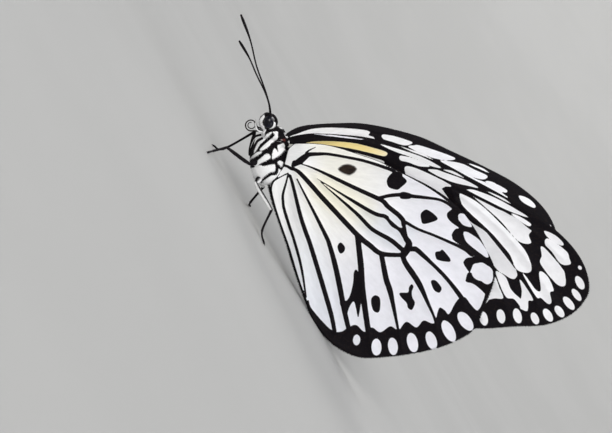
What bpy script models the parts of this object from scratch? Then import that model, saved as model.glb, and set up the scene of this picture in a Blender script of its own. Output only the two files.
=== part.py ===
"""A paper kite butterfly at rest with its wings folded up, life size, in metres.

The side view is laid out on a plate that rides on an empty, in millimetres from the middle of the
wing hinge: a runs out along the wings, b runs from the abdomen to the head, and y runs across the
body, with the butterfly's left at -y. The empty then tilts the plate so that the feet and the lower
edges of the hindwings stand on z = 0.
"""

import math

import bmesh
import bpy
from mathutils import Vector, geometry

MM = 0.001
GAP = 0.3  # clearance between neighbouring nodes
SOCKET_GAP = 0.15  # clearance round an eye
CREASE = math.radians(40)  # edges sharper than this stay sharp
SIDES = (("left", -1), ("right", 1))

# The stance on the floor
TILT = math.radians(60.5)  # turn of the plate, wing tips up
FLOOR = -10.9  # floor level below the wing hinge
HINGE_X = -12.2  # sets the middle of the whole length at x = 0
SLAB = (200.0, 100.0, 20.0)  # block below the floor that trims the soles flat

# Body, each as centre (a, y, b) and radii (a, y, b)
THORAX = ((-2.5, 0.0, 0.7), (4.0, 3.5, 5.4))
COLLAR = ((-1.3, 0.0, 6.4), (2.7, 2.2, 1.8))
HEAD = ((-2.35, 0.0, 8.9), (2.2, 1.8, 2.2))
EYE = ((-2.45, 1.5, 9.25), (1.05, 0.85, 1.35))
ABDOMEN_ROOT = (-1.3, 0.0, -2.2)
ABDOMEN_TIP = (6.8, 0.0, -27.6)
ABDOMEN_RADIUS = 1.8
ABDOMEN_RINGS = 8
RING_GROOVE = 0.14
RING_STATIONS = 3  # rows of points in each ring
ABDOMEN_SIDES = 14
SWELL_START, SWELL_END = 0.22, 0.96  # span of half a sine wave that shapes the abdomen
SWELL_POWER = 0.62

# Head's fine parts, for the butterfly's left side
ANTENNA_RADIUS = 0.27
ANTENNA_CLUB = 1.35
ANTENNA_STEP = 1.5
PALP_STEP = 0.5
PALP = ((-3.6, 0.8, 7.2), (-4.6, 0.85, 7.6), (-4.95, 0.85, 8.5), (-4.9, 0.85, 9.4))
PALP_RADIUS = 0.27
TONGUE_ROOT = ((-3.2, 0.0, 7.5), (-4.2, 0.0, 7.05))
COIL_CENTRE = (-5.95, 8.4)
COIL_RADIUS = 1.28
COIL_SHRINK = 0.55  # loss of radius in each turn
COIL_TURNS = 1.4
COIL_START = math.radians(-70)
COIL_STATIONS = 20
COIL_TUBE = 0.19

# Legs
FEMUR_RADIUS = 0.42
FEMUR_SHAPE = (1.15, 1.05, 1.0, 0.8)  # share of that radius from hip to knee
FEMUR_STEP = 1.6
SHIN_RADIUS = 0.27
FOOT_RADIUS = 0.25
SHIN_STEP = 1.4
FORELEG_RADIUS = 0.24
FORELEG_STEP = 0.8

# Wings
MEMBRANE = 0.5
RIDGE = 0.92  # thickness at a main vein
RIDGE_HALF_WIDTH = 0.55
LEAN = 0.222  # sideways spread for each millimetre out from the body
LEAN_AXIS = (0.98, 0.2)  # the way out from the body, on the plate
LEAN_START = 1.866  # how far out the spread begins
BEND = 6.0  # how softly it begins
FOREWING_OFFSET = 1.7
HINDWING_OFFSET = 3.0
ROOT_DIP = 1.1  # how far a wing root bends in to the body
ROOT_REACH = (0.3, 4.5)  # the dip fades out between these places along the wing
RIM_STEP = 2.3
VEIN_STEP = 2.8
FILL_STEP = 4.6
FILL_ROOM = 1.5  # bare space that a fill point needs round it
RIM_ROOM = 0.55  # bare space between the rim and the points inside it
FLANK_ROOM = 0.35

FOREWING = (
    (0.0, 4.4), (1.5, 5.8), (3.8, 6.7), (7.0, 7.1), (12.7, 6.9), (17.7, 6.4), (23.5, 4.9),
    (30.5, 2.4), (37.6, -1.4), (45.4, -5.7), (52.5, -10.1), (58.2, -15.1), (61.5, -19.9),
    (62.8, -24.8), (62.0, -28.0), (59.3, -31.3), (54.4, -33.7), (48.0, -34.3), (41.1, -35.0),
    (36.0, -34.0), (24.0, -22.5), (11.0, -8.5), (2.5, 0.0), (0.0, 1.6),
)
HINDWING = (
    (1.3, 3.4), (2.0, 4.5), (3.1, 5.2), (6.7, 5.3), (10.3, 4.8), (15.2, 3.3), (19.8, 1.7),
    (24.8, -0.8), (30.1, -3.5), (35.0, -7.1), (38.2, -11.0), (40.8, -15.4), (43.3, -20.8),
    (43.1, -24.5), (41.4, -30.0), (39.5, -34.9), (34.6, -38.3), (29.0, -40.3), (22.6, -41.6),
    (16.6, -42.0), (12.2, -40.2), (8.9, -37.3), (6.3, -33.4), (4.8, -29.0), (3.2, -24.2),
    (1.4, -17.8), (-0.1, -13.2), (-1.4, -9.0), (-2.2, -5.4), (-2.0, -3.6), (-0.9, -1.8),
    (0.2, -0.5), (0.8, 1.2),
)
FOREWING_VEINS = {
    "subcosta": ((2.0, 5.2), (14.0, 5.6), (24.0, 3.4)),
    "radius": ((1.6, 4.0), (12.0, 4.0), (21.0, 2.2), (28.0, -0.2), (34.0, -3.0)),
    "radius_1": ((24.5, 1.0), (31.0, 0.3), (36.0, -1.9)),
    "radius_3": ((34.0, -3.0), (43.0, -7.2), (50.5, -12.5), (57.5, -19.0)),
    "media_1": ((34.8, -4.6), (40.0, -8.4), (46.0, -14.2), (52.0, -21.8), (57.0, -30.5)),
    "media_2": ((35.2, -6.4), (41.0, -12.8), (47.5, -20.8), (51.0, -25.6), (54.0, -32.4)),
    "media_3": ((34.8, -8.4), (39.5, -16.0), (44.0, -24.4), (47.5, -33.0)),
    "cell_end": ((34.0, -3.0), (35.2, -6.4), (34.8, -8.4), (28.5, -10.0)),
    "cubitus": ((1.4, 2.0), (10.0, -1.2), (20.0, -6.2), (28.5, -10.0)),
    "cubitus_1": ((28.5, -10.0), (35.5, -20.5), (41.8, -33.4)),
    "cubitus_2": ((21.0, -6.8), (29.0, -18.6), (36.4, -32.0)),
    "anal": ((1.6, 0.9), (12.0, -7.6), (24.0, -20.4), (34.4, -31.8)),
}
HINDWING_VEINS = {
    "subcosta": ((1.6, 0.8), (6.1, 3.0), (12.0, 2.7), (21.9, -0.4), (31.5, -6.0)),
    "radius": ((1.4, -0.2), (8.8, -1.4), (17.1, -5.5), (24.9, -11.1)),
    "radial_sector": ((18.8, -6.1), (27.0, -5.6), (36.0, -9.8)),
    "media_1": ((24.9, -11.1), (33.0, -14.6), (41.6, -18.6)),
    "media_2": ((25.8, -16.9), (32.2, -21.6), (39.6, -32.6)),
    "media_3": ((24.8, -18.4), (29.4, -28.0), (33.2, -38.0)),
    "cell_end": ((24.9, -11.1), (25.8, -16.9), (24.8, -18.4), (20.2, -18.0), (14.5, -15.0)),
    "cubitus": ((1.0, -1.2), (5.5, -3.4), (9.2, -7.6), (14.5, -15.0)),
    "cubitus_1": ((20.2, -18.0), (23.0, -30.0), (25.4, -40.3)),
    "cubitus_2": ((14.5, -15.0), (15.5, -26.0), (17.4, -40.0)),
    "anal_2": ((0.6, -2.0), (4.0, -11.8), (8.6, -24.8), (11.4, -37.6)),
    "anal_3": ((-0.2, -3.0), (0.6, -9.4), (3.4, -19.0), (6.2, -30.6)),
}

# Colours and roughness of the materials
LOOKS = {
    "wing": ((0.86, 0.86, 0.88, 1.0), 0.55),
    "body": ((0.20, 0.18, 0.18, 1.0), 0.7),
    "eye": ((0.02, 0.02, 0.03, 1.0), 0.15),
    "leg": ((0.06, 0.05, 0.05, 1.0), 0.5),
}


def ground(x, y, height):
    """The plate's (a, y, b) of a point this far along, across and above the floor."""
    level = FLOOR + height
    a = x * math.cos(TILT) + level * math.sin(TILT)
    b = level * math.cos(TILT) - x * math.sin(TILT)
    return (a, y, b)


# Each leg as its root, knee, ankle and toe; the forelegs are the short brushes of this family
LEGS = {
    "mid_leg_left": (
        (-4.6, -1.6, 1.2), (-6.4, -2.6, 0.8), (-11.4, -4.6, 5.1),
        ground(-11.7, -7.6, 1.1), ground(-13.0, -10.9, 0.22),
    ),
    "mid_leg_right": (
        (-4.6, 1.6, 1.2), (-5.9, 2.8, 1.2), (-4.7, 4.6, 5.6),
        ground(-6.6, 7.4, 1.9), ground(-7.4, 10.9, 0.22),
    ),
    "hind_leg_left": (
        (-4.2, -1.5, -2.4), (-5.3, -2.7, -3.2), (-2.3, -4.9, -8.5),
        ground(8.3, -7.4, 1.0), ground(9.9, -10.4, 0.22),
    ),
    "hind_leg_right": (
        (-4.2, 1.5, -2.4), (-5.1, 2.7, -3.3), (-2.9, 5.0, -6.5),
        ground(6.6, 7.6, 0.9), ground(8.2, 10.6, 0.22),
    ),
}
FORELEG = ((-3.6, 1.2, 5.9), (-4.8, 1.75, 5.4), (-5.5, 2.0, 4.2), (-6.0, 2.0, 2.9))
ANTENNAE = {
    "antenna_left": (
        (-1.9, -0.7, 10.0), (-2.1, -1.0, 12.3), (-3.1, -1.6, 16.0), (-4.9, -2.2, 21.3),
        (-6.2, -2.7, 26.9), (-8.1, -3.2, 32.3),
    ),
    "antenna_right": (
        (-1.9, 0.7, 10.0), (-2.0, 2.2, 12.2), (-2.6, 4.8, 14.2), (-3.9, 7.6, 16.9),
        (-5.2, 10.5, 20.0), (-7.0, 13.3, 23.0),
    ),
}


def clear_scene():
    for obj in list(bpy.data.objects):
        bpy.data.objects.remove(obj)


def make_collection(name):
    collection = bpy.data.collections.new(name)
    bpy.context.scene.collection.children.link(collection)
    return collection


def make_material(name, look):
    colour, roughness = LOOKS[look]
    material = bpy.data.materials.new(name)
    material.use_nodes = True
    shader = material.node_tree.nodes["Principled BSDF"]
    shader.inputs["Base Color"].default_value = colour
    shader.inputs["Roughness"].default_value = roughness
    return material


class Workshop:
    """Places finished nodes and hidden cutters on the tilted plate."""

    def __init__(self):
        self.parts = make_collection("paper_kite_butterfly")
        self.cutters = make_collection("cutters")
        self.stance = bpy.data.objects.new("stance", None)
        self.stance.location = (HINGE_X * MM, 0.0, -FLOOR * MM)
        self.stance.rotation_euler = (0.0, -TILT, 0.0)
        self.parts.objects.link(self.stance)

    def part(self, name, mesh, look):
        obj = bpy.data.objects.new(name, mesh)
        mesh.materials.append(make_material(name, look))
        self.parts.objects.link(obj)
        obj.parent = self.stance
        mesh.shade_smooth()
        mesh.set_sharp_from_angle(angle=CREASE)
        return obj

    def cutter(self, name, mesh, on_plate=True):
        obj = bpy.data.objects.new(name, mesh)
        self.cutters.objects.link(obj)
        obj.hide_render = True
        obj.display_type = "WIRE"
        if on_plate:
            obj.parent = self.stance
        return obj


def cut(obj, *cutters):
    for cutter in cutters:
        modifier = obj.modifiers.new(cutter.name, "BOOLEAN")
        modifier.operation = "DIFFERENCE"
        modifier.solver = "EXACT"
        modifier.object = cutter


def mesh_from(name, bm):
    """A mesh in metres from one that was shaped in millimetres."""
    bmesh.ops.recalc_face_normals(bm, faces=bm.faces[:])
    bmesh.ops.scale(bm, verts=bm.verts[:], vec=(MM, MM, MM))
    mesh = bpy.data.meshes.new(name)
    bm.to_mesh(mesh)
    bm.free()
    return mesh


def ellipsoid(name, shape, side=1, grow=0.0, segments=20, rings=12):
    """A ball with these radii, its poles along b."""
    centre, radii = shape
    bm = bmesh.new()
    bmesh.ops.create_uvsphere(bm, u_segments=segments, v_segments=rings, radius=1.0)
    for vertex in bm.verts:
        for axis, middle in enumerate((centre[0], side * centre[1], centre[2])):
            vertex.co[axis] = vertex.co[axis] * (radii[axis] + grow) + middle
    return mesh_from(name, bm)


def catmull_rom(points, closed=False, steps=12):
    """A dense smooth curve through the points, of two or three coordinates."""
    points = [Vector(point) for point in points]
    count = len(points)
    dense = []
    for i in range(count if closed else count - 1):
        if closed:
            p0, p1, p2, p3 = (points[(i + k) % count] for k in (-1, 0, 1, 2))
        else:
            p1, p2 = points[i], points[i + 1]
            p0 = points[i - 1] if i else p1 * 2 - p2
            p3 = points[i + 2] if i + 2 < count else p2 * 2 - p1
        for k in range(steps):
            t = k / steps
            dense.append(
                0.5 * (
                    2 * p1 + (p2 - p0) * t
                    + (2 * p0 - 5 * p1 + 4 * p2 - p3) * t**2
                    + (3 * p1 - p0 - 3 * p2 + p3) * t**3
                )
            )
    if not closed:
        dense.append(points[-1])
    return dense


def evenly(dense, step, closed=False):
    """Points about one step apart along a dense line, with both its ends."""
    line = dense + dense[:1] if closed else dense
    lengths = [0.0]
    for start, end in zip(line, line[1:]):
        lengths.append(lengths[-1] + (end - start).length)
    count = max(1, round(lengths[-1] / step))
    found = []
    at = 0
    for k in range(count if closed else count + 1):
        want = lengths[-1] * k / count
        while at < len(line) - 2 and lengths[at + 1] < want:
            at += 1
        share = (want - lengths[at]) / max(1e-9, lengths[at + 1] - lengths[at])
        found.append(line[at].lerp(line[at + 1], min(1.0, share)))
    return found


def tube(name, path, radii, grow=0.0, sides=3):
    """A round tube through the path's points, its radius read along the path from radii."""
    curve = bpy.data.curves.new(name, "CURVE")
    curve.dimensions = "3D"
    curve.bevel_depth = 1.0
    curve.bevel_resolution = sides - 2
    curve.use_fill_caps = True
    spline = curve.splines.new("POLY")
    spline.points.add(len(path) - 1)
    ends = (path[0] - path[1]).normalized() * grow, (path[-1] - path[-2]).normalized() * grow
    for i, point in enumerate(path):
        place = point + (ends[0] if i == 0 else ends[1] if i == len(path) - 1 else Vector((0, 0, 0)))
        along = i / (len(path) - 1) * (len(radii) - 1)
        first = min(int(along), len(radii) - 2)
        radius = radii[first] + (radii[first + 1] - radii[first]) * (along - first)
        spline.points[i].co = (*place, 1.0)
        spline.points[i].radius = radius + grow
    guide = bpy.data.objects.new(name, curve)
    bpy.context.scene.collection.objects.link(guide)
    bpy.context.view_layer.update()
    graph = bpy.context.evaluated_depsgraph_get()
    solid = bpy.data.meshes.new_from_object(guide.evaluated_get(graph))
    bpy.data.objects.remove(guide)
    bm = bmesh.new()
    bm.from_mesh(solid)
    bmesh.ops.remove_doubles(bm, verts=bm.verts[:], dist=1e-4)
    return mesh_from(name, bm)


def mirrored(points, side):
    return [Vector((a, side * y, b)) for a, y, b in points]


def abdomen_mesh():
    """A turned body whose rings each swell a little between their grooves."""
    length = (Vector(ABDOMEN_TIP) - Vector(ABDOMEN_ROOT)).length
    count = ABDOMEN_RINGS * RING_STATIONS
    bm = bmesh.new()
    profile = [bm.verts.new((0.0, 0.0, 0.0))]
    for i in range(count + 1):
        t = i / count
        phase = SWELL_START + (SWELL_END - SWELL_START) * t
        swell = math.sin(math.pi * phase) ** SWELL_POWER
        groove = RING_GROOVE if i % RING_STATIONS == 0 and 0 < i < count else 0.0
        profile.append(bm.verts.new((ABDOMEN_RADIUS * swell - groove, 0.0, -length * t)))
    profile.append(bm.verts.new((0.0, 0.0, -length)))
    for start, stop in zip(profile, profile[1:]):
        bm.edges.new((start, stop))
    return mesh_from("abdomen", bm)


def make_abdomen(shop, thorax_room):
    obj = shop.part("abdomen", abdomen_mesh(), "body")
    axis = Vector(ABDOMEN_TIP) - Vector(ABDOMEN_ROOT)
    obj.location = Vector(ABDOMEN_ROOT) * MM
    obj.rotation_euler = (0.0, math.atan2(-axis.x, -axis.z), 0.0)
    turn = obj.modifiers.new("turned", "SCREW")
    turn.axis = "Z"
    turn.steps = turn.render_steps = ABDOMEN_SIDES
    turn.use_merge_vertices = True
    turn.merge_threshold = 1e-5
    cut(obj, thorax_room)


def make_head(shop, collar_room):
    head = shop.part("head", ellipsoid("head", HEAD, segments=22, rings=14), "body")
    head_room = shop.cutter("head_room", ellipsoid("head_room", HEAD, grow=GAP))
    cut(head, collar_room)
    for name, side in SIDES:
        shop.part(f"eye_{name}", ellipsoid("eye", EYE, side), "eye")
        socket = ellipsoid(f"socket_{name}", EYE, side, SOCKET_GAP)
        cut(head, shop.cutter(f"socket_{name}", socket))
        path = evenly(catmull_rom(mirrored(PALP, side)), PALP_STEP)
        radii = [PALP_RADIUS, PALP_RADIUS * 1.1, PALP_RADIUS * 0.9, PALP_RADIUS * 0.5]
        cut(shop.part(f"palp_{name}", tube("palp", path, radii), "body"), head_room)
    for name, points in ANTENNAE.items():
        path = evenly(catmull_rom(points), ANTENNA_STEP)
        radii = [ANTENNA_RADIUS] * 5 + [ANTENNA_RADIUS * ANTENNA_CLUB, ANTENNA_RADIUS * 0.7]
        cut(shop.part(name, tube(name, path, radii), "leg"), head_room)
    tongue = shop.part("proboscis", tube("proboscis", coil_path(), [COIL_TUBE] * 2), "leg")
    cut(tongue, head_room)


def coil_path():
    """From inside the face, forward below the palps and round into the coil."""
    path = [Vector(place) for place in TONGUE_ROOT]
    for i in range(COIL_STATIONS + 1):
        turn = COIL_TURNS * i / COIL_STATIONS
        radius = COIL_RADIUS - COIL_SHRINK * turn
        angle = COIL_START - 2 * math.pi * turn
        a = COIL_CENTRE[0] + radius * math.cos(angle)
        b = COIL_CENTRE[1] + radius * math.sin(angle)
        path.append(Vector((a, 0.0, b)))
    return path


def make_legs(shop, thorax_room, collar_room, floor):
    for name, (root, hip, knee, ankle, toe) in LEGS.items():
        thigh = evenly(catmull_rom((root, hip, knee)), FEMUR_STEP)
        radii = [FEMUR_RADIUS * share for share in FEMUR_SHAPE]
        cut(shop.part(f"{name}_femur", tube(name, thigh, radii), "leg"), thorax_room)
        knee_room = shop.cutter(f"{name}_knee_room", tube(name, thigh, radii, GAP))
        shin = evenly(catmull_rom((knee, ankle, toe)), SHIN_STEP)
        radii = [SHIN_RADIUS, SHIN_RADIUS, FOOT_RADIUS]
        cut(shop.part(f"{name}_tibia", tube(name, shin, radii), "leg"), knee_room, floor)
    for name, side in SIDES:
        path = evenly(catmull_rom(mirrored(FORELEG, side)), FORELEG_STEP)
        radii = [FORELEG_RADIUS, FORELEG_RADIUS, FORELEG_RADIUS * 0.6]
        brush = shop.part(f"foreleg_{name}", tube("foreleg", path, radii), "leg")
        cut(brush, thorax_room, collar_room)


def ease(value, low, high):
    t = min(1.0, max(0.0, (value - low) / (high - low)))
    return t * t * (3 - 2 * t)


def sideways(offset, a, b):
    """How far out from the middle a wing lies: a dip at the root, then a lean that grows softly."""
    out = Vector((a, b)).dot(LEAN_AXIS) - LEAN_START
    dip = ROOT_DIP * (1 - ease(a, *ROOT_REACH))
    return offset + LEAN * (out + math.hypot(out, BEND)) / 2 - dip


def nearest(point, others):
    return min(((point - other).length for other in others), default=math.inf)


def inside(point, loop):
    """Whether a point lies in the closed loop, by counting crossings."""
    crossings = 0
    for start, end in zip(loop, loop[1:] + loop[:1]):
        if (start.y > point.y) != (end.y > point.y):
            share = (point.y - start.y) / (end.y - start.y)
            crossings += point.x < start.x + share * (end.x - start.x)
    return crossings % 2 == 1


def vein_stations(line, rim, rim_dense):
    """Places along a vein that lie well inside the rim, each with its number and heading."""
    stations = evenly(line, VEIN_STEP)
    for i, station in enumerate(stations):
        if inside(station, rim) and nearest(station, rim_dense) > RIM_ROOM:
            before, after = stations[max(i - 1, 0)], stations[min(i + 1, len(stations) - 1)]
            yield i, station, (after - before).normalized()


def add_veins(layout, veins, rim, rim_dense):
    """Ridge points along each vein, joined up, with plain points on both flanks."""
    points, weights, edges = layout
    dense = {name: catmull_rom(line) for name, line in veins.items()}
    flanks = []
    for name, line in dense.items():
        others = [point for other in dense if other != name for point in dense[other]]
        last = None
        for i, station, heading in vein_stations(line, rim, rim_dense):
            points.append(station)
            weights.append(1.0)
            if last == i - 1:
                edges.append((len(points) - 2, len(points) - 1))
            last = i
            for turn in (1, -1):
                flank = station + turn * RIDGE_HALF_WIDTH * Vector((-heading.y, heading.x))
                if min(nearest(flank, others), nearest(flank, rim_dense)) > RIM_ROOM:
                    flanks.append(flank)
    for flank in flanks:
        if inside(flank, rim) and nearest(flank, points[len(rim):]) > FLANK_ROOM:
            points.append(flank)
            weights.append(0.0)


def wing_layout(outline, veins):
    """The plate points of a wing, their ridge weights and the edges that the triangles must keep."""
    rim = evenly(catmull_rom(outline, closed=True), RIM_STEP, closed=True)
    points = list(rim)
    weights = [0.0] * len(rim)
    edges = [(i, (i + 1) % len(rim)) for i in range(len(rim))]
    add_veins((points, weights, edges), veins, rim, evenly(rim, 0.5, closed=True))
    across = max(point.x for point in rim)
    low = min(point.y for point in rim)
    high = max(point.y for point in rim)
    for row in range(int((high - low) / FILL_STEP) + 1):
        for column in range(int(across / FILL_STEP) + 2):
            spot = Vector(((column + row % 2 / 2) * FILL_STEP - 1.0, low + row * FILL_STEP))
            if inside(spot, rim) and nearest(spot, points) > FILL_ROOM:
                points.append(spot)
                weights.append(0.0)
    return points, weights, edges


def wing_mesh(name, outline, veins, offset, side):
    """An open surface of triangles, with the ridge weight of each point beside it."""
    points, weights, edges = wing_layout(outline, veins)
    flat, _, faces, origins, _, _ = geometry.delaunay_2d_cdt(points, edges, [], 1, 1e-4)
    mesh = bpy.data.meshes.new(name)
    places = [Vector((a, side * sideways(offset, a, b), b)) * MM for a, b in flat]
    mesh.from_pydata(places, [], faces)
    ridge = [max((weights[i] for i in origin), default=1.0) for origin in origins]
    return mesh, ridge


def make_wing(shop, name, outline, veins, offset, side, cutters):
    mesh, ridge = wing_mesh(name, outline, veins, offset, side)
    obj = shop.part(name, mesh, "wing")
    group = obj.vertex_groups.new(name="ridge")
    for i, weight in enumerate(ridge):
        group.add([i], weight, "REPLACE")
    skin = obj.modifiers.new("membrane", "SOLIDIFY")
    skin.thickness = RIDGE * MM
    skin.offset = 0.0
    skin.vertex_group = group.name
    skin.thickness_vertex_group = MEMBRANE / RIDGE
    cut(obj, *cutters)


def floor_slab(shop):
    bm = bmesh.new()
    bmesh.ops.create_cube(bm, size=1.0)
    for vertex in bm.verts:
        for axis in range(3):
            vertex.co[axis] *= SLAB[axis]
        vertex.co.z -= SLAB[2] / 2
    return shop.cutter("floor_slab", mesh_from("floor_slab", bm), on_plate=False)


def main():
    clear_scene()
    shop = Workshop()
    floor = floor_slab(shop)
    shop.part("thorax", ellipsoid("thorax", THORAX, segments=24, rings=14), "body")
    thorax_shape = ellipsoid("thorax_room", THORAX, grow=GAP, segments=24, rings=14)
    thorax_room = shop.cutter("thorax_room", thorax_shape)
    collar_room = shop.cutter("collar_room", ellipsoid("collar_room", COLLAR, grow=GAP))
    cut(shop.part("collar", ellipsoid("collar", COLLAR), "body"), thorax_room)
    make_head(shop, collar_room)
    make_abdomen(shop, thorax_room)
    make_legs(shop, thorax_room, collar_room, floor)
    for name, side in SIDES:
        rooms = (thorax_room, collar_room)
        make_wing(shop, f"forewing_{name}", FOREWING, FOREWING_VEINS, FOREWING_OFFSET, side, rooms)
        rooms = (thorax_room, floor)
        make_wing(shop, f"hindwing_{name}", HINDWING, HINDWING_VEINS, HINDWING_OFFSET, side, rooms)


main()
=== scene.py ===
"""The looks of a paper kite butterfly resting with its wings folded up, life size.

Shapes are laid out in millimetres on the same plate as the solids: a runs out along the wings,
b runs towards the head and y runs across the body, with the butterfly's left at -y.
"""

import math

import bpy
import numpy as np
from mathutils import Matrix, Vector, geometry, noise

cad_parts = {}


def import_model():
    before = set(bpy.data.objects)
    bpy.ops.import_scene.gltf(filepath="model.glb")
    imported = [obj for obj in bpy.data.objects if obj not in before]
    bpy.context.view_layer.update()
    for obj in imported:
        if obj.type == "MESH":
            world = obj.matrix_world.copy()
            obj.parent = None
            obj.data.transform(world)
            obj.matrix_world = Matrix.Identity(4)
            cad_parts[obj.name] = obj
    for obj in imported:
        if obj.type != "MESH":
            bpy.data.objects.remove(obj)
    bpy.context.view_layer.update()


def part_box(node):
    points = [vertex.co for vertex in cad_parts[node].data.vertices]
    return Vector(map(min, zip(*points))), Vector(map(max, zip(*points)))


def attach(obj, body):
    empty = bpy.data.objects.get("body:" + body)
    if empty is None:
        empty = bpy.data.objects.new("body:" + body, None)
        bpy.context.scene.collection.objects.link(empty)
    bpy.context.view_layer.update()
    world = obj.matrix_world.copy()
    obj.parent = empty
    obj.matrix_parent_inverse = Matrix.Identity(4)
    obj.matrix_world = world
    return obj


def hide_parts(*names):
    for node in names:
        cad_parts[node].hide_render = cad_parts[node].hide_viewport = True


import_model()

MM = 0.001
TILT = math.radians(60.5)
LEFT, RIGHT = -1, 1
SIDES = (("left", LEFT), ("right", RIGHT))

# Body in plate millimetres, as centre and radii along (a, y, b)
THORAX = ((-2.5, 0.0, 0.7), (4.0, 3.5, 5.4))
COLLAR = ((-1.3, 0.0, 6.4), (2.7, 2.2, 1.8))
HEAD = ((-2.35, 0.0, 8.9), (2.2, 1.8, 2.2))
EYE = ((-2.45, 1.5, 9.25), (1.05, 0.85, 1.35))
ABDOMEN_ROOT = (-1.3, -2.2)
ABDOMEN_TIP = (6.8, -27.6)
ABDOMEN_RADIUS = 1.8
ABDOMEN_RINGS = 8
TEGULA = ((0.8, 1.6, 5.0), (1.3, 1.1, 1.6))
HINGE = ((0.2, 1.1, 1.9), (1.7, 1.3, 2.4))
COAT = 0.3
BLEND = 0.22
WAIST = -4.6
PALP = ((-3.6, 0.8, 7.2), (-4.6, 0.85, 7.6), (-4.95, 0.85, 8.5), (-4.9, 0.85, 9.4))
FORELEG = ((-3.6, 1.2, 5.9), (-4.8, 1.75, 5.4), (-5.5, 2.0, 4.2), (-6.0, 2.0, 2.9))
TONGUE_ROOT = ((-3.2, 0.0, 7.5), (-4.2, 0.0, 7.05))
TONGUE_CENTRE = (-5.9, 0.0, 8.4)
TONGUE_TURNS = 1.6
TONGUE_RADIUS = 1.3
TONGUE_PITCH = 0.5
ANTENNA_JOINTS = 42
FLOOR_LEVEL = -10.9
FOOT_HEIGHT = 0.22

# Coats of hair-like scales: their stretch along b, number, lengths, half widths, lifts and seed
COATS = {
    "front_coat": ((WAIST, 10.6), 17000, (0.22, 0.45), (0.022, 0.036), (0.05, 0.16), 3),
    "abdomen_coat": ((-27.0, -4.0), 9000, (0.3, 0.5), (0.03, 0.05), (0.02, 0.1), 4),
}
ROOT_SINK = 0.08

# Wings
LEAN_START = (1.7, 1.0)
LEAN_AXIS = (0.98, 0.2)
LEAN = 0.222
BEND = 6.0
ROOT_DIP = 1.1
ROOT_REACH = (0.3, 4.5)
OFFSETS = {"forewing": 1.7, "hindwing": 3.0}
WING_STEP = 0.24
MEMBRANE_HALF = 0.07
VEIN_RISE = 0.11
VEIN_WIDTH = 0.34
PLEAT = 0.2
PLEAT_WIDTH = 1.1
WAVE = 9
WAVE_HEIGHT = 0.35
FAN_CENTRE = (-4.0, 1.5)
FAN_ROWS = 42.0
FRINGE_STEP = 0.11
FRINGE_LENGTH = (0.16, 0.36)
FRINGE_HALF_WIDTH = (0.05, 0.08)
FRINGE_SKEW = 0.12
EDGE_INK = 0.3
CREAM_PATCH = ((4, -1.5), (10, -3), (18, -8), (17, -12), (10, -8))
# Painted shade: the patch where the far wing's dark markings show through the hindwing
PAINTED_SHADE_PATCH = ((17, -9), (26, -12), (24, -17), (17, -13))

# How far from a marking its distance is still worked out, in millimetres and in pixels
REACH = 3.0
FAR = 9.0
TRACE_ROUNDS = 30

# How far the wing net's filling points stay from its rim and veins, in steps, and veins from the rim
RIM_CLEAR = 0.62
VEIN_CLEAR = 0.55
VEIN_END_GAP = 0.2

# Size of one small scale in the unwrap, and how the body's noise is stretched along (a, y, b)
UNWRAP_DOT = 0.003
FUR_FLOW = (3.0, 3.0, 1.5)
LIGHT_TARGET = Vector((0.0, 0.0, 0.02))

FOREWING = (
    (0, 4.4), (1.5, 5.8), (3.8, 6.7), (7, 7.1), (12.7, 6.9), (17.7, 6.4), (23.5, 4.9), (30.5, 2.4),
    (37.6, -1.4), (45.4, -5.7), (52.5, -10.1), (58.2, -15.1), (61.5, -19.9), (62.8, -24.8), (62, -28),
    (59.3, -31.3), (54.4, -33.7), (48, -34.3), (41.1, -35), (36, -34), (24, -22.5), (11, -8.5), (2.5, 0),
    (0, 1.6),
)
HINDWING = (
    (1.3, 3.4), (2, 4.5), (3.1, 5.2), (6.7, 5.3), (10.3, 4.8), (15.2, 3.3), (19.8, 1.7), (24.8, -0.8),
    (30.1, -3.5), (35, -7.1), (38.2, -11), (40.8, -15.4), (43.3, -20.8), (43.1, -24.5), (41.4, -30),
    (39.5, -34.9), (34.6, -38.3), (29, -40.3), (22.6, -41.6), (16.6, -42), (12.2, -40.2), (8.9, -37.3),
    (6.3, -33.4), (4.8, -29), (3.2, -24.2), (1.4, -17.8), (-0.1, -13.2), (-1.4, -9), (-2.2, -5.4),
    (-2, -3.6), (-0.9, -1.8), (0.2, -0.5), (0.8, 1.2),
)

# The photo's camera, in plate directions, and its picture in pixels
PICTURE_CENTRE = (306.0, 216.5)
PICTURE_FOCAL = 2160.0
PIXELS_PER_MM = 4.8
CAMERA_AIM = (5.417, 0.0, -11.77)
CAMERA_BACK = (-0.1159, -0.9440, 0.3090)
CAMERA_UP = (0.0377, 0.3067, 0.9510)
CAMERA_RIGHT = (0.9925, -0.1219, 0.0)
CAMERA_DISTANCE = 450.0

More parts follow.
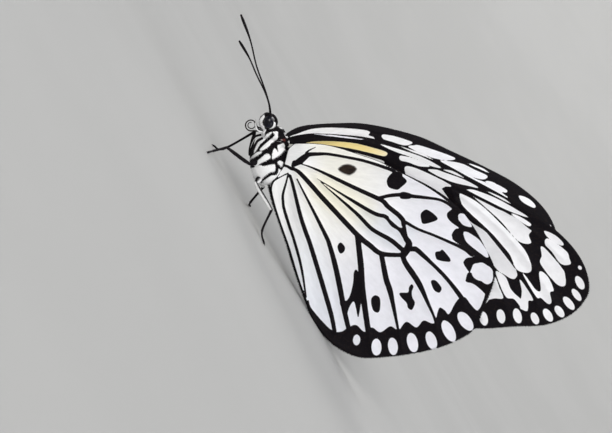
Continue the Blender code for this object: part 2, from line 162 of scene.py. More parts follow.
# Veins of the forewing on the plate: points, then widths in millimetres read along the line
FOREWING_LINES = {
    "subcosta": (((2, 5), (14, 5.9), (24, 3.6)), (0.9, 1, 0.9)),
    "radius": (((0.5, 3.4), (7.9, 4), (11.9, 4), (14.9, 3.4), (20.9, 2.4)), (0.8, 0.4, 0.35, 0.4)),
    "radius_3": (((34, -3.2), (43, -7.2), (50.5, -12.5), (57.5, -19)), (0.5, 0.5)),
    "media_1": (((34.8, -4.6), (40, -8.4), (46, -14.2), (52, -21.8), (57, -30.5)), (0.5, 0.5)),
    "media_2": (((35.2, -6.4), (41, -12.8), (47.5, -20.8), (51, -25.6), (54, -32.4)), (0.5, 0.5)),
    "media_3": (((34.8, -8.4), (39.5, -16), (44, -24.4), (47.5, -33)), (1.2, 1.4, 1.4)),
    "cell_end": (((34, -3), (35.2, -6.4), (34.8, -8.4), (28.5, -10)), (1.4, 1.6, 1.2)),
    "cubitus": (((0.6, 1.8), (10, -1.2), (20, -6.2), (28.5, -10)), (1, 0.8, 1.1)),
    "cubitus_1": (((28.5, -10), (35.5, -20.5), (41.8, -33.4)), (1, 1.4)),
    "cubitus_2": (((21, -6.8), (29, -18.6), (36.4, -32)), (1, 1.3)),
    "anal": (((0.8, 0.7), (12, -7.6), (24, -20.4), (34.4, -31.8)), (0.8, 1.4, 1.2)),
    "cell_fork": (((4, 2.2), (12, 0.9), (20, -1.8), (27, -5.6)), (0.15, 0.4, 0.7)),
}
# Veins of the hindwing in picture pixels, with widths in millimetres
HINDWING_LINES = {
    "anal_3": (
        ((288, 174), (286.5, 181), (283, 194), (283, 200.5), (284, 208.5), (289, 225), (294.5, 241.5),
         (301.5, 268), (306, 297)),
        (0.3, 0.55, 0.65, 0.6, 0.6, 0.5, 0.35),
    ),
    "anal_2": (
        ((290, 175.5), (293, 185.5), (300, 214), (304.5, 228.5), (312, 250), (330, 310), (334.5, 331)),
        (0.6, 0.75, 0.9, 0.95, 1, 1, 0.9),
    ),
    "anal_1": (
        ((297, 179), (323.5, 231), (330, 246.5), (337, 273), (344.5, 311), (348.5, 328)),
        (0.3, 0.5, 0.7, 0.9, 1.1, 1.15, 1.1, 1),
    ),
    "cubitus": (
        ((282, 165.5), (287, 166), (291, 168.5), (295, 169.5), (300.5, 173.5), (312.5, 186.5), (324.5, 200),
         (356.5, 234), (370, 245.5), (381, 253.5), (398.5, 255), (403, 254)),
        (0.5, 0.9, 1, 1.05, 1.05, 1.1, 1.15, 1.05, 0.9),
    ),
    "cubitus_2": (
        ((357.5, 236), (360.5, 262), (362, 284), (363.5, 297), (368, 329), (373, 358)),
        (1.1, 1.25, 1.25, 1.2, 1.2, 1.1),
    ),
    "cubitus_1": (
        ((381.5, 255), (386, 278.5), (389.5, 289), (393, 304), (403.5, 356)),
        (1, 1.15, 1.2, 0.85, 0.6, 0.45, 0.4),
    ),
    "media_3": (
        ((402.5, 255), (405.5, 263), (416, 278.5), (421.5, 288.5), (427, 301), (435, 320), (440, 345)),
        (1, 1.25, 1.2, 0.8, 0.55, 0.6, 0.6),
    ),
    "media_2": (
        ((408, 249), (413.5, 249), (419, 251.5), (444, 275.5), (463, 300), (464.5, 306.5)),
        (1.2, 1.05, 0.8, 0.8, 0.85, 1, 1),
    ),
    "media_1": (
        ((403, 220.5), (412, 226), (420, 230), (437.5, 236.5), (463, 248), (472, 254.5)),
        (0.7, 0.6, 0.6, 0.7, 1),
    ),
    "cell_end": (
        ((403, 220), (405.5, 237), (409, 243), (407.5, 249), (403, 255)),
        (0.9, 0.9, 1, 1.3, 1.5, 1.5),
    ),
    "radial_sector": (
        ((380, 197.5), (390.5, 195.5), (403, 195), (413.5, 196.5), (428.5, 198), (439, 199.5), (448, 203.5),
         (453, 207.5)),
        (0.7, 0.8, 0.9, 0.8, 0.65, 0.6, 0.7),
    ),
    "radius": (
        ((300.5, 163.5), (315.5, 169), (356.5, 188.5), (375, 197), (383, 201), (388, 206.5), (398, 214.5),
         (403, 220)),
        (0.2, 0.55, 0.8, 0.88, 0.95, 1, 1),
    ),
    "fork_upper": (
        ((317, 178.5), (370, 211), (385.5, 216.5), (393, 225), (400, 229.5), (405, 237)),
        (0.12, 0.28, 0.5, 0.75, 0.85, 0.9, 0.9, 1),
    ),
    "fork_lower": (
        ((320.5, 182), (355, 212), (372, 229), (390.5, 240), (404.5, 251.5)),
        (0.08, 0.4, 0.65, 0.8, 0.9, 1, 1),
    ),
    "subcosta": (
        ((294, 164.5), (306, 155.5), (317.5, 154), (328, 154), (346, 157), (365, 161), (388, 168.5),
         (394.5, 171.5)),
        (1, 0.95, 0.65, 0.6, 0.65, 0.7, 0.75),
    ),
    "humeral": (((305.5, 154.5), (307, 151.5), (310.5, 149.5), (315.5, 147)), (0.5, 0.3, 0.12)),
    "margin": (
        ((288, 173), (276, 179.5), (272, 183.5), (270.5, 188), (270.5, 193), (288, 250), (301.5, 291),
         (306, 302)),
        (0.25, 0.35),
    ),
}

# Dark patches as closed smooth loops: the forewing's on the plate, the hindwing's in picture pixels
FOREWING_PATCHES = {
    "coast": (
        (-2, 4.8), (3.8, 4.9), (6.9, 4.6), (9.9, 3.4), (13.9, 2), (17.2, 0.7), (20.6, -0.6), (25, -1.8),
        (26.5, -1), (31, -2.6), (33, -5), (35.2, -8.4), (36.5, -10.5), (40.5, -16.5), (43.4, -22.5),
        (42.6, -28.8), (39, -31.5), (37, -36.5), (50, -40), (70, -35), (70, -12), (50, -4), (30, 6),
        (18, 9), (0, 9),
    ),
    "hidden_spot": ((20.5, -1), (23.6, 0), (25.6, -1), (25, -4), (22, -4.4)),
    "hidden_round": ((29, -13.6), (31.2, -13), (32.6, -15), (31.4, -17.2), (29.2, -16.4)),
}
HINDWING_PATCHES = {
    "round_spot": (
        (393, 172.5), (388, 178), (387, 183), (389, 187.5), (393.5, 189.5), (398, 190), (401.5, 187.5),
        (405.5, 184), (407, 181.5), (405.5, 179), (402.5, 176), (402, 171.5),
    ),
    "bulge": ((400, 194), (403, 192), (411, 194), (411, 198.5), (405.5, 199.5), (400.5, 198.5)),
    "root": (
        (292, 167), (292, 162.5), (293.5, 160.5), (298, 159.5), (306, 153.5), (310.5, 153), (309.5, 156.5),
        (302, 163.5),
    ),
    "wedge": (
        (354, 272), (353, 284), (350, 296), (346, 301), (341, 298), (340, 304), (343.5, 312), (345.5, 326),
        (348, 312), (351, 305), (354, 302), (356, 308), (358.5, 318), (361, 300), (359.5, 280), (357, 270),
    ),
    "dart": ((337.5, 247), (340.5, 242.5), (345, 247), (344, 252), (340, 253.5)),
    "block_1": (
        (426, 210), (431, 212), (436.5, 216.5), (437.5, 220), (430.5, 223), (423, 224), (421, 218),
        (421.5, 213.5),
    ),
    "block_2": (
        (435.5, 252), (440, 251), (442.5, 249.5), (447.5, 255), (450.5, 259.5), (449, 262), (438, 260),
        (435.5, 256.5),
    ),
    "spot_3": (
        (371, 301), (373, 296.5), (376.5, 295.5), (380, 298.5), (380.5, 306.5), (379.5, 311.5), (377, 313),
        (373, 310),
    ),
    "spot_4": (
        (400, 293), (408, 292.5), (409, 287.5), (411.5, 284), (413.5, 286.5), (412, 292), (412.5, 297.5),
        (415, 303), (412, 310), (408, 308), (406.5, 303), (400.5, 296.5),
    ),
    "spot_5": ((431, 281.5), (435.5, 280.5), (441.5, 287.5), (441, 291.5), (438.5, 293), (434, 290)),
    "shoulder": (
        (448, 201), (453, 207), (448, 212.5), (447, 215), (448, 218.5), (452, 223), (459, 228),
        (455.5, 229), (452, 233.5), (452, 237), (454, 240.5), (468.5, 250), (473, 254.5), (477, 256.5),
        (489.5, 258), (492.5, 261), (489.5, 252.5), (479.5, 235), (473, 227.5), (472, 222), (470, 218.5),
        (456.5, 205),
    ),
    "arch": (
        (472.5, 257), (467, 258), (464.5, 260.5), (463.5, 263), (465.5, 267), (470, 272.5), (473.5, 265),
        (478, 263.5), (482.5, 263), (487, 265.5), (491, 269), (493, 273), (495.5, 273), (495.5, 269.5),
        (490.5, 258), (483.5, 256), (478, 255),
    ),
    "edge": (
        (493, 272.5), (493, 278), (490.5, 283), (484.5, 283.5), (470, 272.5), (466, 280), (467, 282.5),
        (474.5, 285), (484.5, 295.5), (478, 310), (481, 313), (490, 296), (494, 283.5), (496, 272.5),
    ),
    "band": (
        (308, 300), (312, 309), (330, 329), (341, 332), (348.5, 327.5), (356.5, 325.5), (364.5, 332),
        (372, 327.5), (380.5, 332.5), (390.5, 326.5), (398.5, 330), (406.5, 322), (416.5, 327.5),
        (423.5, 320.5), (433.5, 323), (437.5, 312), (440, 307.5), (445, 310.5), (449, 314), (455.5, 303),
        (461, 297), (466, 298), (471, 304.5), (478, 310.5), (484, 300), (489, 296), (500, 300), (495, 330),
        (470, 350), (430, 365), (380, 372), (340, 362), (318, 342), (302, 312),
    ),
}
# Pale cells laid over the dark, in picture pixels
FOREWING_CELLS = {
    # A painted highlight: a thin pale line just inside the costal edge, where light glints off the edge
    "painted_costa_highlight": ((315.5, 134.5), (328, 134.5), (341, 136), (354, 137.5), (366.5, 140)),
    "yellow": (
        (305, 142.5), (321, 141), (338, 141.5), (356, 143.5), (372, 147.5), (385, 151.5), (387.5, 154),
        (384, 156), (373, 153.5), (356, 149.5), (342, 147), (324, 144.5),
    ),
    "under_strip": (
        (334, 149), (347, 151), (359, 153.5), (371, 157), (383, 161), (383.5, 163.5), (373, 161.5),
        (359, 157), (345, 153.5),
    ),
    "lavender": (
        (380, 144), (395, 148), (414, 154), (423, 157.5), (432, 162), (441.5, 168), (432, 166.5),
        (422.5, 162), (413.5, 158), (395, 151.5),
    ),
    "white_line": ((397, 144.5), (410, 148.5), (423, 153.5), (434, 160), (422, 155.5), (409, 150.5)),
    "cell_2": (
        (400, 156), (405.5, 156.5), (413.5, 158.5), (421, 161.5), (430, 166.5), (423.5, 167), (416, 165.5),
        (408.5, 162.5), (400.5, 160.5),
    ),
    "cell_3": (
        (406.5, 166.5), (421, 170.5), (450.5, 185), (445.5, 187), (441, 190), (438.5, 193), (430, 190),
        (410, 180), (405.5, 173),
    ),
    "cell_4": (
        (428, 170), (436.5, 170), (444, 172.5), (465, 180), (479, 188), (468.5, 186), (455.5, 183),
        (444, 179), (436.5, 175.5),
    ),
    "sliver_4": ((443.5, 170), (452.5, 171), (464.5, 178), (452, 173.5)),
    "cell_5": (
        (467.5, 189.5), (476, 190.5), (496.5, 198.5), (515.5, 209), (528.5, 217.5), (514, 213),
        (496.5, 205), (469, 191),
    ),
    "sliver_5": ((487, 191.5), (491, 192.5), (499, 196), (505.5, 199.5), (511, 204), (497, 197)),
    "cell_6": ((511, 213.5), (520.5, 217), (531, 224), (528.5, 226), (518.5, 220)),
    "cell_7": (
        (470.5, 194.5), (476, 198), (496.5, 208.5), (505.5, 212.5), (518.5, 220.5), (528.5, 228.5),
        (531.5, 231), (529, 235.5), (531, 243.5), (518.5, 241), (501.5, 222), (484, 206),
    ),
    "cell_8": (
        (459.5, 194), (463, 194.5), (476, 201.5), (491, 214), (519.5, 243.5), (528, 256), (531.5, 268.5),
        (527.5, 273), (516.5, 269), (510, 255), (501.5, 244.5), (491, 232.5), (465.5, 208.5), (461, 201.5),
    ),
    "cell_9": (
        (462, 212), (470.5, 221.5), (483.5, 230), (491, 238), (515, 269), (516, 278), (511.5, 279),
        (505, 275), (494, 266), (464, 224),
    ),
    "cell_10": (
        (496, 271.5), (503, 275), (507, 279.5), (510.5, 288.5), (515, 294), (521, 299.5), (528, 310),
        (523, 310), (514.5, 299.5), (506, 297), (498.5, 281),
    ),
    "cell_11": ((494.5, 276.5), (499.5, 288), (503, 298), (495, 298.5), (486, 299.5), (490, 288)),
    "apex_a": ((544.5, 231), (555.5, 235.5), (563.5, 243.5), (561, 245.5), (548.5, 238)),
    "apex_b": (
        (545.5, 239.5), (551, 240), (566.5, 251.5), (569.5, 258.5), (570.5, 264.5), (561, 264), (552, 252),
        (545.5, 245),
    ),
    "apex_c": (
        (541, 247), (545.5, 249), (555.5, 260), (561.5, 267.5), (565, 273.5), (565.5, 286), (556.5, 284),
        (541, 264.5), (542, 256),
    ),
    "apex_d": (
        (523, 274.5), (526.5, 277), (536, 290), (541, 290), (539, 273.5), (542.5, 272), (549, 278.5),
        (554, 290.5), (550, 292.5), (551.5, 302), (548, 304), (541, 298), (536, 296.5),
    ),
    "apex_e": (
        (520, 279.5), (530, 293.5), (533, 300.5), (528.5, 301), (528, 309), (523, 310), (520, 306.5),
        (522, 292),
    ),
}
# Cells that only the forewing's inner face has, read off the far wing
INNER_CELLS = {
    "strip_1": (
        (290, 137), (298, 133.5), (311.5, 129), (331, 127.5), (351.5, 128.5), (365, 130), (370, 132),
        (368.5, 135), (374, 137.5), (372, 143), (355, 143), (335, 141), (315, 141), (300, 143),
    ),
    "strip_2": (
        (382.5, 134.5), (392, 135.5), (404.5, 139), (412.5, 142.5), (404.5, 145), (392, 141.5),
        (383, 138.5),
    ),
    "strip_3": (
        (408, 146), (413.5, 145), (421, 145.5), (450, 155.5), (455, 159), (446, 160), (434, 158),
        (421, 153.5), (413.5, 149.5),
    ),
    "strip_4": (
        (440, 160.5), (449, 161), (462, 163.5), (474.5, 169.5), (487, 175.5), (484, 179), (474.5, 177.5),
        (462, 172.5), (449, 166),
    ),
    "strip_5": ((485.5, 181), (494, 182.5), (502.5, 189.5), (500, 192.5), (490.5, 188)),
}
# The forewing cells that only its outer face has
OUTER_ONLY = (
    "painted_costa_highlight", "yellow", "lavender", "white_line", "cell_2", "cell_4", "sliver_4", "cell_5", "apex_b",
)
HINDWING_CELLS = {
    "edge_cell": (
        (464, 289), (465.5, 296), (468.5, 301), (478, 310), (484.5, 296), (483.5, 292.5), (474.5, 285),
        (469, 285.5),
    ),
    "shoulder_oval": (
        (458.5, 218.5), (458.5, 215), (460.5, 213.5), (463.5, 214), (466.5, 217), (471.5, 225), (471, 227),
        (464, 225.5), (459.5, 221),
    ),
    "shoulder_cell": (
        (464, 232), (468, 232.5), (472.5, 235), (477, 238), (480.5, 241.5), (486.5, 250.5), (488.5, 256),
        (487.5, 257.5), (484, 256), (468, 243.5), (464, 236),
    ),
    "small_cell": (
        (390, 214.5), (393, 216.5), (400, 224), (402.5, 227.5), (399, 227), (392.5, 221.5), (389, 217.5),
    ),
}
BROWN_SPOT = (
    (338.5, 169.5), (343, 165.5), (349, 164.6), (355, 167), (356.2, 170.5), (350, 174.9), (343, 173),
)
# Pale ovals: picture pixels of the centre, then half width, half length and turn on the plate
FOREWING_OVALS = (
    (483.7, 318.5, 0.85, 1.6, 14), (501.1, 316.5, 0.85, 1.6, 12), (517.5, 316, 0.85, 1.7, 16),
    (535, 318.5, 0.75, 1.4, 22), (548, 315.2, 0.8, 1.6, 30), (559.5, 311.5, 0.75, 1.5, 34),
    (569, 303.5, 0.75, 1.7, 38), (576.8, 295.2, 0.65, 1.5, 34), (580, 283, 0.75, 1.6, 26),
    (580, 267.8, 0.35, 0.5, 30),
)
HINDWING_OVALS = (
    (356.8, 340.3, 0.75, 1.2, -4), (376.5, 347.2, 1.05, 1.9, 2), (393, 346.5, 1, 1.95, 6),
    (412.6, 342.7, 1.1, 2.2, 12), (431.4, 340.5, 1.05, 2.1, 18), (448.7, 331.1, 1.15, 2.6, 26),
    (465.5, 321.3, 1.2, 2.4, 34), (482.5, 273, 2.1, 1.85, 0),
)

# Colours, linear
LAVENDER = (0.87, 0.87, 0.94)
WHITE = (0.93, 0.93, 0.94)
BODY_WHITE = (0.96, 0.96, 0.97)
CREAM = (0.93, 0.90, 0.76)
YELLOW = (0.93, 0.76, 0.33)
# Painted shade: the blue grey of the far wing's dark markings showing through a wing
PAINTED_SHADE_BLUE_GREY = (0.60, 0.66, 0.72)
BROWN = (0.045, 0.03, 0.02)
RUST = (0.14, 0.03, 0.025)
BLACK = (0.004, 0.003, 0.005)
BROWN_BLACK = (0.012, 0.008, 0.008)


# Placing on the plate

def turned(points):
    points = np.atleast_2d(np.asarray(points, float))
    a, y, b = points.T
    c, s = math.cos(TILT), math.sin(TILT)
    return np.stack([a * c - b * s, y, a * s + b * c], 1)


eye_corners = [np.array(corner) for name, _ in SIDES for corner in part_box(f"eye_{name}")]
ORIGIN = np.mean(eye_corners, axis=0) - turned((EYE[0][0], 0.0, EYE[0][2]))[0] * MM


def world(points):
    return turned(points) * MM + ORIGIN


# Lines and loops on the plate

def unit(rows):
    return rows / np.linalg.norm(rows, axis=-1, keepdims=True)


def catmull_rom(points, closed=False, steps=10):
    """A smooth line through the points, or a smooth loop."""
    points = np.asarray(points, float)
    if closed:
        before, after = points[-1:], points[:2]
    else:
        before, after = 2 * points[:1] - points[1:2], 2 * points[-1:] - points[-2:-1]
    padded = np.vstack([before, points, after])
    p0, p1, p2, p3 = (padded[k:len(padded) - 3 + k, None] for k in range(4))
    t = (np.arange(steps) / steps)[:, None]
    bend = 2 * p0 - 5 * p1 + 4 * p2 - p3
    twist = 3 * p1 - p0 - 3 * p2 + p3
    dense = 0.5 * (2 * p1 + (p2 - p0) * t + bend * t**2 + twist * t**3)
    dense = dense.reshape(-1, points.shape[1])
    return dense if closed else np.vstack([dense, points[-1]])


def evenly(line, step, closed=False):
    if closed:
        line = np.vstack([line, line[:1]])
    lengths = np.concatenate([[0.0], np.cumsum(np.linalg.norm(np.diff(line, axis=0), axis=1))])
    count = max(1, round(lengths[-1] / step))
    wanted = np.linspace(0.0, lengths[-1], count + 1)
    if closed:
        wanted = wanted[:-1]
    return np.stack([np.interp(wanted, lengths, axis) for axis in line.T], 1)


def near_line(spots, line):
    """The distance of each spot to a line, and how far along it, 0 to 1."""
    nearest = np.full(len(spots), np.inf)
    along = np.zeros(len(spots))
    for i in range(len(line) - 1):
        step = line[i + 1] - line[i]
        share = np.clip((spots - line[i]) @ step / max(1e-12, step @ step), 0.0, 1.0)
        gap = np.linalg.norm(spots - line[i] - share[:, None] * step, axis=1)
        closer = gap < nearest
        nearest[closer] = gap[closer]
        along[closer] = (i + share[closer]) / (len(line) - 1)
    return nearest, along


def inside(spots, loop):
    crossings = np.zeros(len(spots), int)
    for start, end in zip(loop, np.roll(loop, -1, axis=0)):
        spans = (start[1] > spots[:, 1]) != (end[1] > spots[:, 1])
        rise = end[1] - start[1]
        across = start[0] + (spots[:, 1] - start[1]) / (rise if rise else 1.0) * (end[0] - start[0])
        crossings += spans & (spots[:, 0] < across)
    return crossings % 2 == 1


def close_to(spots, line, margin):
    return ((spots > line.min(axis=0) - margin) & (spots < line.max(axis=0) + margin)).all(axis=1)


def within(spots, loop, reach=REACH):
    """Distance to the edge of a smooth closed loop, positive inside it and no less than -reach."""
    edge = catmull_rom(loop, closed=True, steps=6)
    found = np.full(len(spots), -float(reach))
    close = close_to(spots, edge, reach)
    gap, _ = near_line(spots[close], np.vstack([edge, edge[:1]]))
    found[close] = np.where(inside(spots[close], edge), gap, -np.minimum(gap, reach))
    return found


def oval(spots, shape):
    a, b, wide, long, turn = shape
    c, s = math.cos(math.radians(turn)), math.sin(math.radians(turn))
    u, v = ((spots - (a, b)) @ ((c, -s), (s, c))).T
    return (1.0 - np.hypot(u / wide, v / long)) * min(wide, long)


def stroke(spots, line, widths, reach=REACH):
    """How deep each spot lies in a smooth line whose widths are spread evenly along it."""
    path = evenly(catmull_rom(line), 0.5)
    found = np.full(len(spots), -float(reach))
    close = close_to(spots, path, reach)
    gap, along = near_line(spots[close], path)
    found[close] = np.interp(along, np.linspace(0, 1, len(widths)), widths) / 2 - np.minimum(gap, reach)
    return found


def ramp(value, low, high):
    t = np.clip((value - low) / (high - low), 0.0, 1.0)
    return t * t * (3 - 2 * t)


def mix(first, second, share):
    share = np.asarray(share)[:, None]
    return np.asarray(first) * (1 - share) + np.asarray(second) * share


# Meshes

def listed(faces):
    return faces if isinstance(faces, list) else faces.tolist()


def placed(name, data):
    obj = bpy.data.objects.new(name, data)
    bpy.context.scene.collection.objects.link(obj)
    return obj


def smooth_mesh(name, places, faces, material):
    mesh = bpy.data.meshes.new(name)
    mesh.from_pydata(places.tolist(), [], listed(faces))
    mesh.materials.append(material)
    mesh.shade_smooth()
    return mesh


def add_piece(name, points, faces, material, uv=None, **fields):
    """A mesh object from plate millimetres. uv holds one row for each corner of the faces."""
    places = world(points)
    places[:, 2] = np.maximum(places[:, 2], 0.0)
    mesh = smooth_mesh(name, places, faces, material)
    for field, values in fields.items():
        kind, row = ("FLOAT", "value") if values.ndim == 1 else ("FLOAT_VECTOR", "vector")
        layer = mesh.attributes.new(field, kind, "POINT")
        layer.data.foreach_set(row, values.astype(np.float32).ravel())
    if uv is not None:
        layer = mesh.uv_layers.new(name="OFBake")
        layer.data.foreach_set("uv", uv.astype(np.float32).ravel())
    return placed(name, mesh)


def settle(piece, slot, *nodes):
    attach(piece, "root")
    if nodes:
        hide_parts(*nodes)


def shell(rings, around):
    """Faces and unwrap of rings of points that close at two poles, the last two points."""
    faces, uv = [], []
    for i in range(-1, rings):
        for j in range(around):
            corners = [(i, j), (i + 1, j), (i + 1, j + 1), (i, j + 1)]
            if i < 0:
                corners.pop()
            elif i + 1 == rings:
                corners.pop(1)
            faces.append([
                row * around + column % around if 0 <= row < rings else rings * around + (row > 0)
                for row, column in corners
            ])
            uv += [(column / around, (row + 1) / (rings + 1)) for row, column in corners]
    return faces, np.array(uv)


class Shapes:
    """Gathers points, faces, fields and unwrap of several shapes into one piece."""

    def __init__(self):
        self.points, self.faces, self.uv, self.fields = [], [], [], {}
        self.count = 0

    def add(self, points, faces, uv=None, **fields):
        self.faces += [[index + self.count for index in face] for face in listed(faces)]
        self.points.append(points)
        self.count += len(points)
        if uv is not None:
            self.uv.append(uv)
        for name, values in fields.items():
            self.fields.setdefault(name, []).append(values)

    def piece(self, name, material, slot, *nodes):
        fields = {field: np.concatenate(values) for field, values in self.fields.items()}
        uv = np.concatenate(self.uv) if self.uv else None
        settle(add_piece(name, np.vstack(self.points), self.faces, material, uv, **fields), slot, *nodes)


# Materials

class Nodes:
    """A small hand for building shader trees. Each call gives the new node's output."""

    def __init__(self, name):
        self.material = bpy.data.materials.new(name)
        self.material.use_nodes = True
        self.tree = self.material.node_tree

    def put(self, node, inputs):
        for key, value in inputs.items():
            if isinstance(value, bpy.types.NodeSocket):
                self.tree.links.new(value, node.inputs[key])
            else:
                node.inputs[key].default_value = (*value, 1.0) if isinstance(value, tuple) else value

    def new(self, kind, inputs, output=0, **settings):
        node = self.tree.nodes.new(kind)
        for key, value in settings.items():
            setattr(node, key, value)
        self.put(node, inputs)
        return node.outputs[output]

    def field(self, name, output):
        return self.new("ShaderNodeAttribute", {}, output, attribute_name=name)

    def math(self, operation, *values):
        return self.new("ShaderNodeMath", dict(enumerate(values)), operation=operation)

    def noise(self, vector, scale, detail=2.0, roughness=0.5):
        inputs = {"Vector": vector, "Scale": scale, "Detail": detail, "Roughness": roughness}
        return self.new("ShaderNodeTexNoise", inputs, "Fac")

    def ease(self, value, low, high, start=0.0, end=1.0):
        inputs = dict(enumerate((value, low, high, start, end)))
        return self.new("ShaderNodeMapRange", inputs, interpolation_type="SMOOTHSTEP")

    def blend(self, share, first, second, how="MIX"):
        inputs = {0: share, 6: first, 7: second}
        return self.new("ShaderNodeMix", inputs, 2, data_type="RGBA", blend_type=how)

    def bump(self, height, distance, strength=1.0):
        return self.new("ShaderNodeBump", {"Strength": strength, "Distance": distance, "Height": height})

    def finish(self, colour, roughness, normal, **more):
        inputs = {"Base Color": colour, "Roughness": roughness, "Normal": normal}
        inputs.update((key.replace("_", " "), value) for key, value in more.items())
        self.put(self.tree.nodes["Principled BSDF"], inputs)
        return self.material


def scale_material(name, rag, soft, streak):
    """Pale scales with dark markings where the ink field is positive."""
    n = Nodes(name)
    flow = n.field("flow", "Vector")
    ragged = n.math("MULTIPLY_ADD", n.noise(flow, 1.6, 3.0, 0.65), 2 * rag, -rag)
    dark = n.ease(n.math("ADD", n.field("ink", "Fac"), ragged), -soft, soft)
    shade = n.ease(n.noise(flow, 0.8, 4.0, 0.6), 0.3, 0.7, 1.0 - streak, 1.0)
    shade = n.blend(shade, (0.0, 0.0, 0.0), (1.0, 1.0, 1.0))
    pale = n.blend(1.0, n.field("pale", "Color"), shade, "MULTIPLY")
    scales = n.noise(flow, 3.0)
    black = n.blend(n.ease(scales, 0.45, 0.75), BLACK, BROWN_BLACK)
    normal = n.bump(n.noise(flow, 2.4, 3.0, 0.6), 0.00004, 0.7)
    roughness = n.ease(scales, 0.3, 0.7, 0.48, 0.68)
    return n.finish(n.blend(dark, pale, black), roughness, normal, Specular_IOR_Level=0.1)


def plain_material(name, colour, other, roughness, size, bump=0.00002, **more):
    n = Nodes(name)
    patch = n.noise(n.new("ShaderNodeTexCoord", {}, "Object"), size, 3.0, 0.6)
    mottled = n.blend(n.ease(patch, 0.35, 0.65), colour, other)
    return n.finish(mottled, roughness, n.bump(patch, bump), **more)


# Wings

def sideways(kind, spots):
    """How far out from the middle a wing lies: a dip at the root, then a soft lean."""
    out = (spots - LEAN_START) @ LEAN_AXIS
    dip = ROOT_DIP * (1 - ramp(spots[:, 0], *ROOT_REACH))
    return OFFSETS[kind] + LEAN * (out + np.hypot(out, BEND)) / 2 - dip


def picture(points):
    """Where plate points appear in the photo, in picture pixels."""
    step = points - np.array(CAMERA_AIM)
    scale = PICTURE_FOCAL / (CAMERA_DISTANCE - step @ np.array(CAMERA_BACK))
    across, down = step @ np.array(CAMERA_RIGHT), -step @ np.array(CAMERA_UP)
    return np.stack([across * scale, down * scale], 1) + PICTURE_CENTRE


def traced(pixels, kind, side=LEFT):
    """The plate (a, b) of places on a wing that were read off the photo."""
    pixels = np.array(pixels, float)
    spots = np.zeros_like(pixels)
    for _ in range(TRACE_ROUNDS):
        miss = pixels - picture(np.insert(spots, 1, side * sideways(kind, spots), axis=1))
        spots += 0.9 * miss * (1, -1) / PIXELS_PER_MM
    return spots


def traced_ovals(shapes, kind):
    centres = traced([shape[:2] for shape in shapes], kind)
    return [(*centre, *shape[2:]) for centre, shape in zip(centres, shapes)]


def darkened(spots, lines, loops, ink, reach=REACH):
    for line, widths in lines:
        ink = np.maximum(ink, stroke(spots, line, widths, reach))
    for loop in loops:
        ink = np.maximum(ink, within(spots, loop, reach))
    return ink


def cleared(spots, cells, ovals, ink):
    for loop in cells:
        ink = np.minimum(ink, -within(spots, loop))
    for shape in ovals:
        ink = np.minimum(ink, -oval(spots, shape))
    return ink


def forewing_look(spots, rim):
    """Ink and pale colour of the outer face, then of the inner face."""
    cells = {name: traced(loop, "forewing") for name, loop in FOREWING_CELLS.items()}
    outer_cells = {name: cells.pop(name) for name in OUTER_ONLY}
    inner_cells = [traced(loop, "forewing", RIGHT) for loop in INNER_CELLS.values()]
    dark = darkened(spots, FOREWING_LINES.values(), FOREWING_PATCHES.values(), EDGE_INK - rim)
    shared = cleared(spots, cells.values(), traced_ovals(FOREWING_OVALS, "forewing"), dark)
    a = spots[:, 0]
    pale = mix(WHITE, LAVENDER, 0.4 * ramp(a, 15, 40))
    inner = (cleared(spots, inner_cells, (), shared), pale)
    pale = mix(pale, CREAM, 0.45 * (1 - ramp(a, 8, 24)))
    yellow = ramp(within(spots, outer_cells["yellow"]), -0.3, 0.1) * (1 - 0.5 * ramp(a, 16, 24))
    pale = mix(pale, YELLOW, yellow)
    # Painted highlight along the costal edge, in lavender
    pale = mix(pale, LAVENDER, ramp(within(spots, outer_cells["painted_costa_highlight"]), -0.3, 0.0))
    return (cleared(spots, outer_cells.values(), (), shared), pale), inner


def hindwing_look(spots, rim):
    """Ink and pale colour, the same on both faces. The dark edge is widest at the front corner."""
    a, b = spots.T
    angle = np.arctan2(b + 1.0, a + 0.5)
    reach = np.hypot(a, b)
    edge = 0.1 + 0.25 * ramp(-angle, 1.1, 1.35) + 0.1 * ramp(a, 36, 40)
    edge += 0.45 * ramp(a, 21, 33) * ramp(b, -12, -6)
    patches = [traced(loop, "hindwing") for loop in HINDWING_PATCHES.values()]
    cells = [traced(loop, "hindwing") for loop in HINDWING_CELLS.values()]
    ink = darkened(spots, HINDWING_VEINS.values(), patches, edge - rim)
    ink = cleared(spots, cells, traced_ovals(HINDWING_OVALS, "hindwing"), ink)
    cream = 0.5 * (1 - ramp(reach, 10, 26)) * ramp(angle, -1.2, -0.6) * ramp(reach, 5, 10)
    cream += 0.5 * ramp(within(spots, CREAM_PATCH), -2.5, 0.5)
    # Painted shade, not wing colour: blue grey where the far wing's dark markings show through, in one patch
    # and in a band below the root
    painted_shade = ramp(within(spots, PAINTED_SHADE_PATCH), -2.0, 0.5)
    pale = mix(WHITE, LAVENDER, ramp(reach, 12, 34))
    pale = mix(pale, CREAM, np.clip(cream, 0, 1))
    pale = mix(pale, PAINTED_SHADE_BLUE_GREY, 0.3 * np.maximum(ramp(-angle, 0.95, 1.25) * ramp(reach, 8, 20), painted_shade))
    spot = within(spots, traced(BROWN_SPOT, "hindwing"))
    ink = np.maximum(ink, np.minimum(0.2 * spot, 0.0))
    pale = mix(pale, BROWN, ramp(spot, -0.2, 0.15))
    return (ink, pale), (ink, pale)


HINDWING_VEINS = {
    name: (traced(line, "hindwing"), widths) for name, (line, widths) in HINDWING_LINES.items()
}


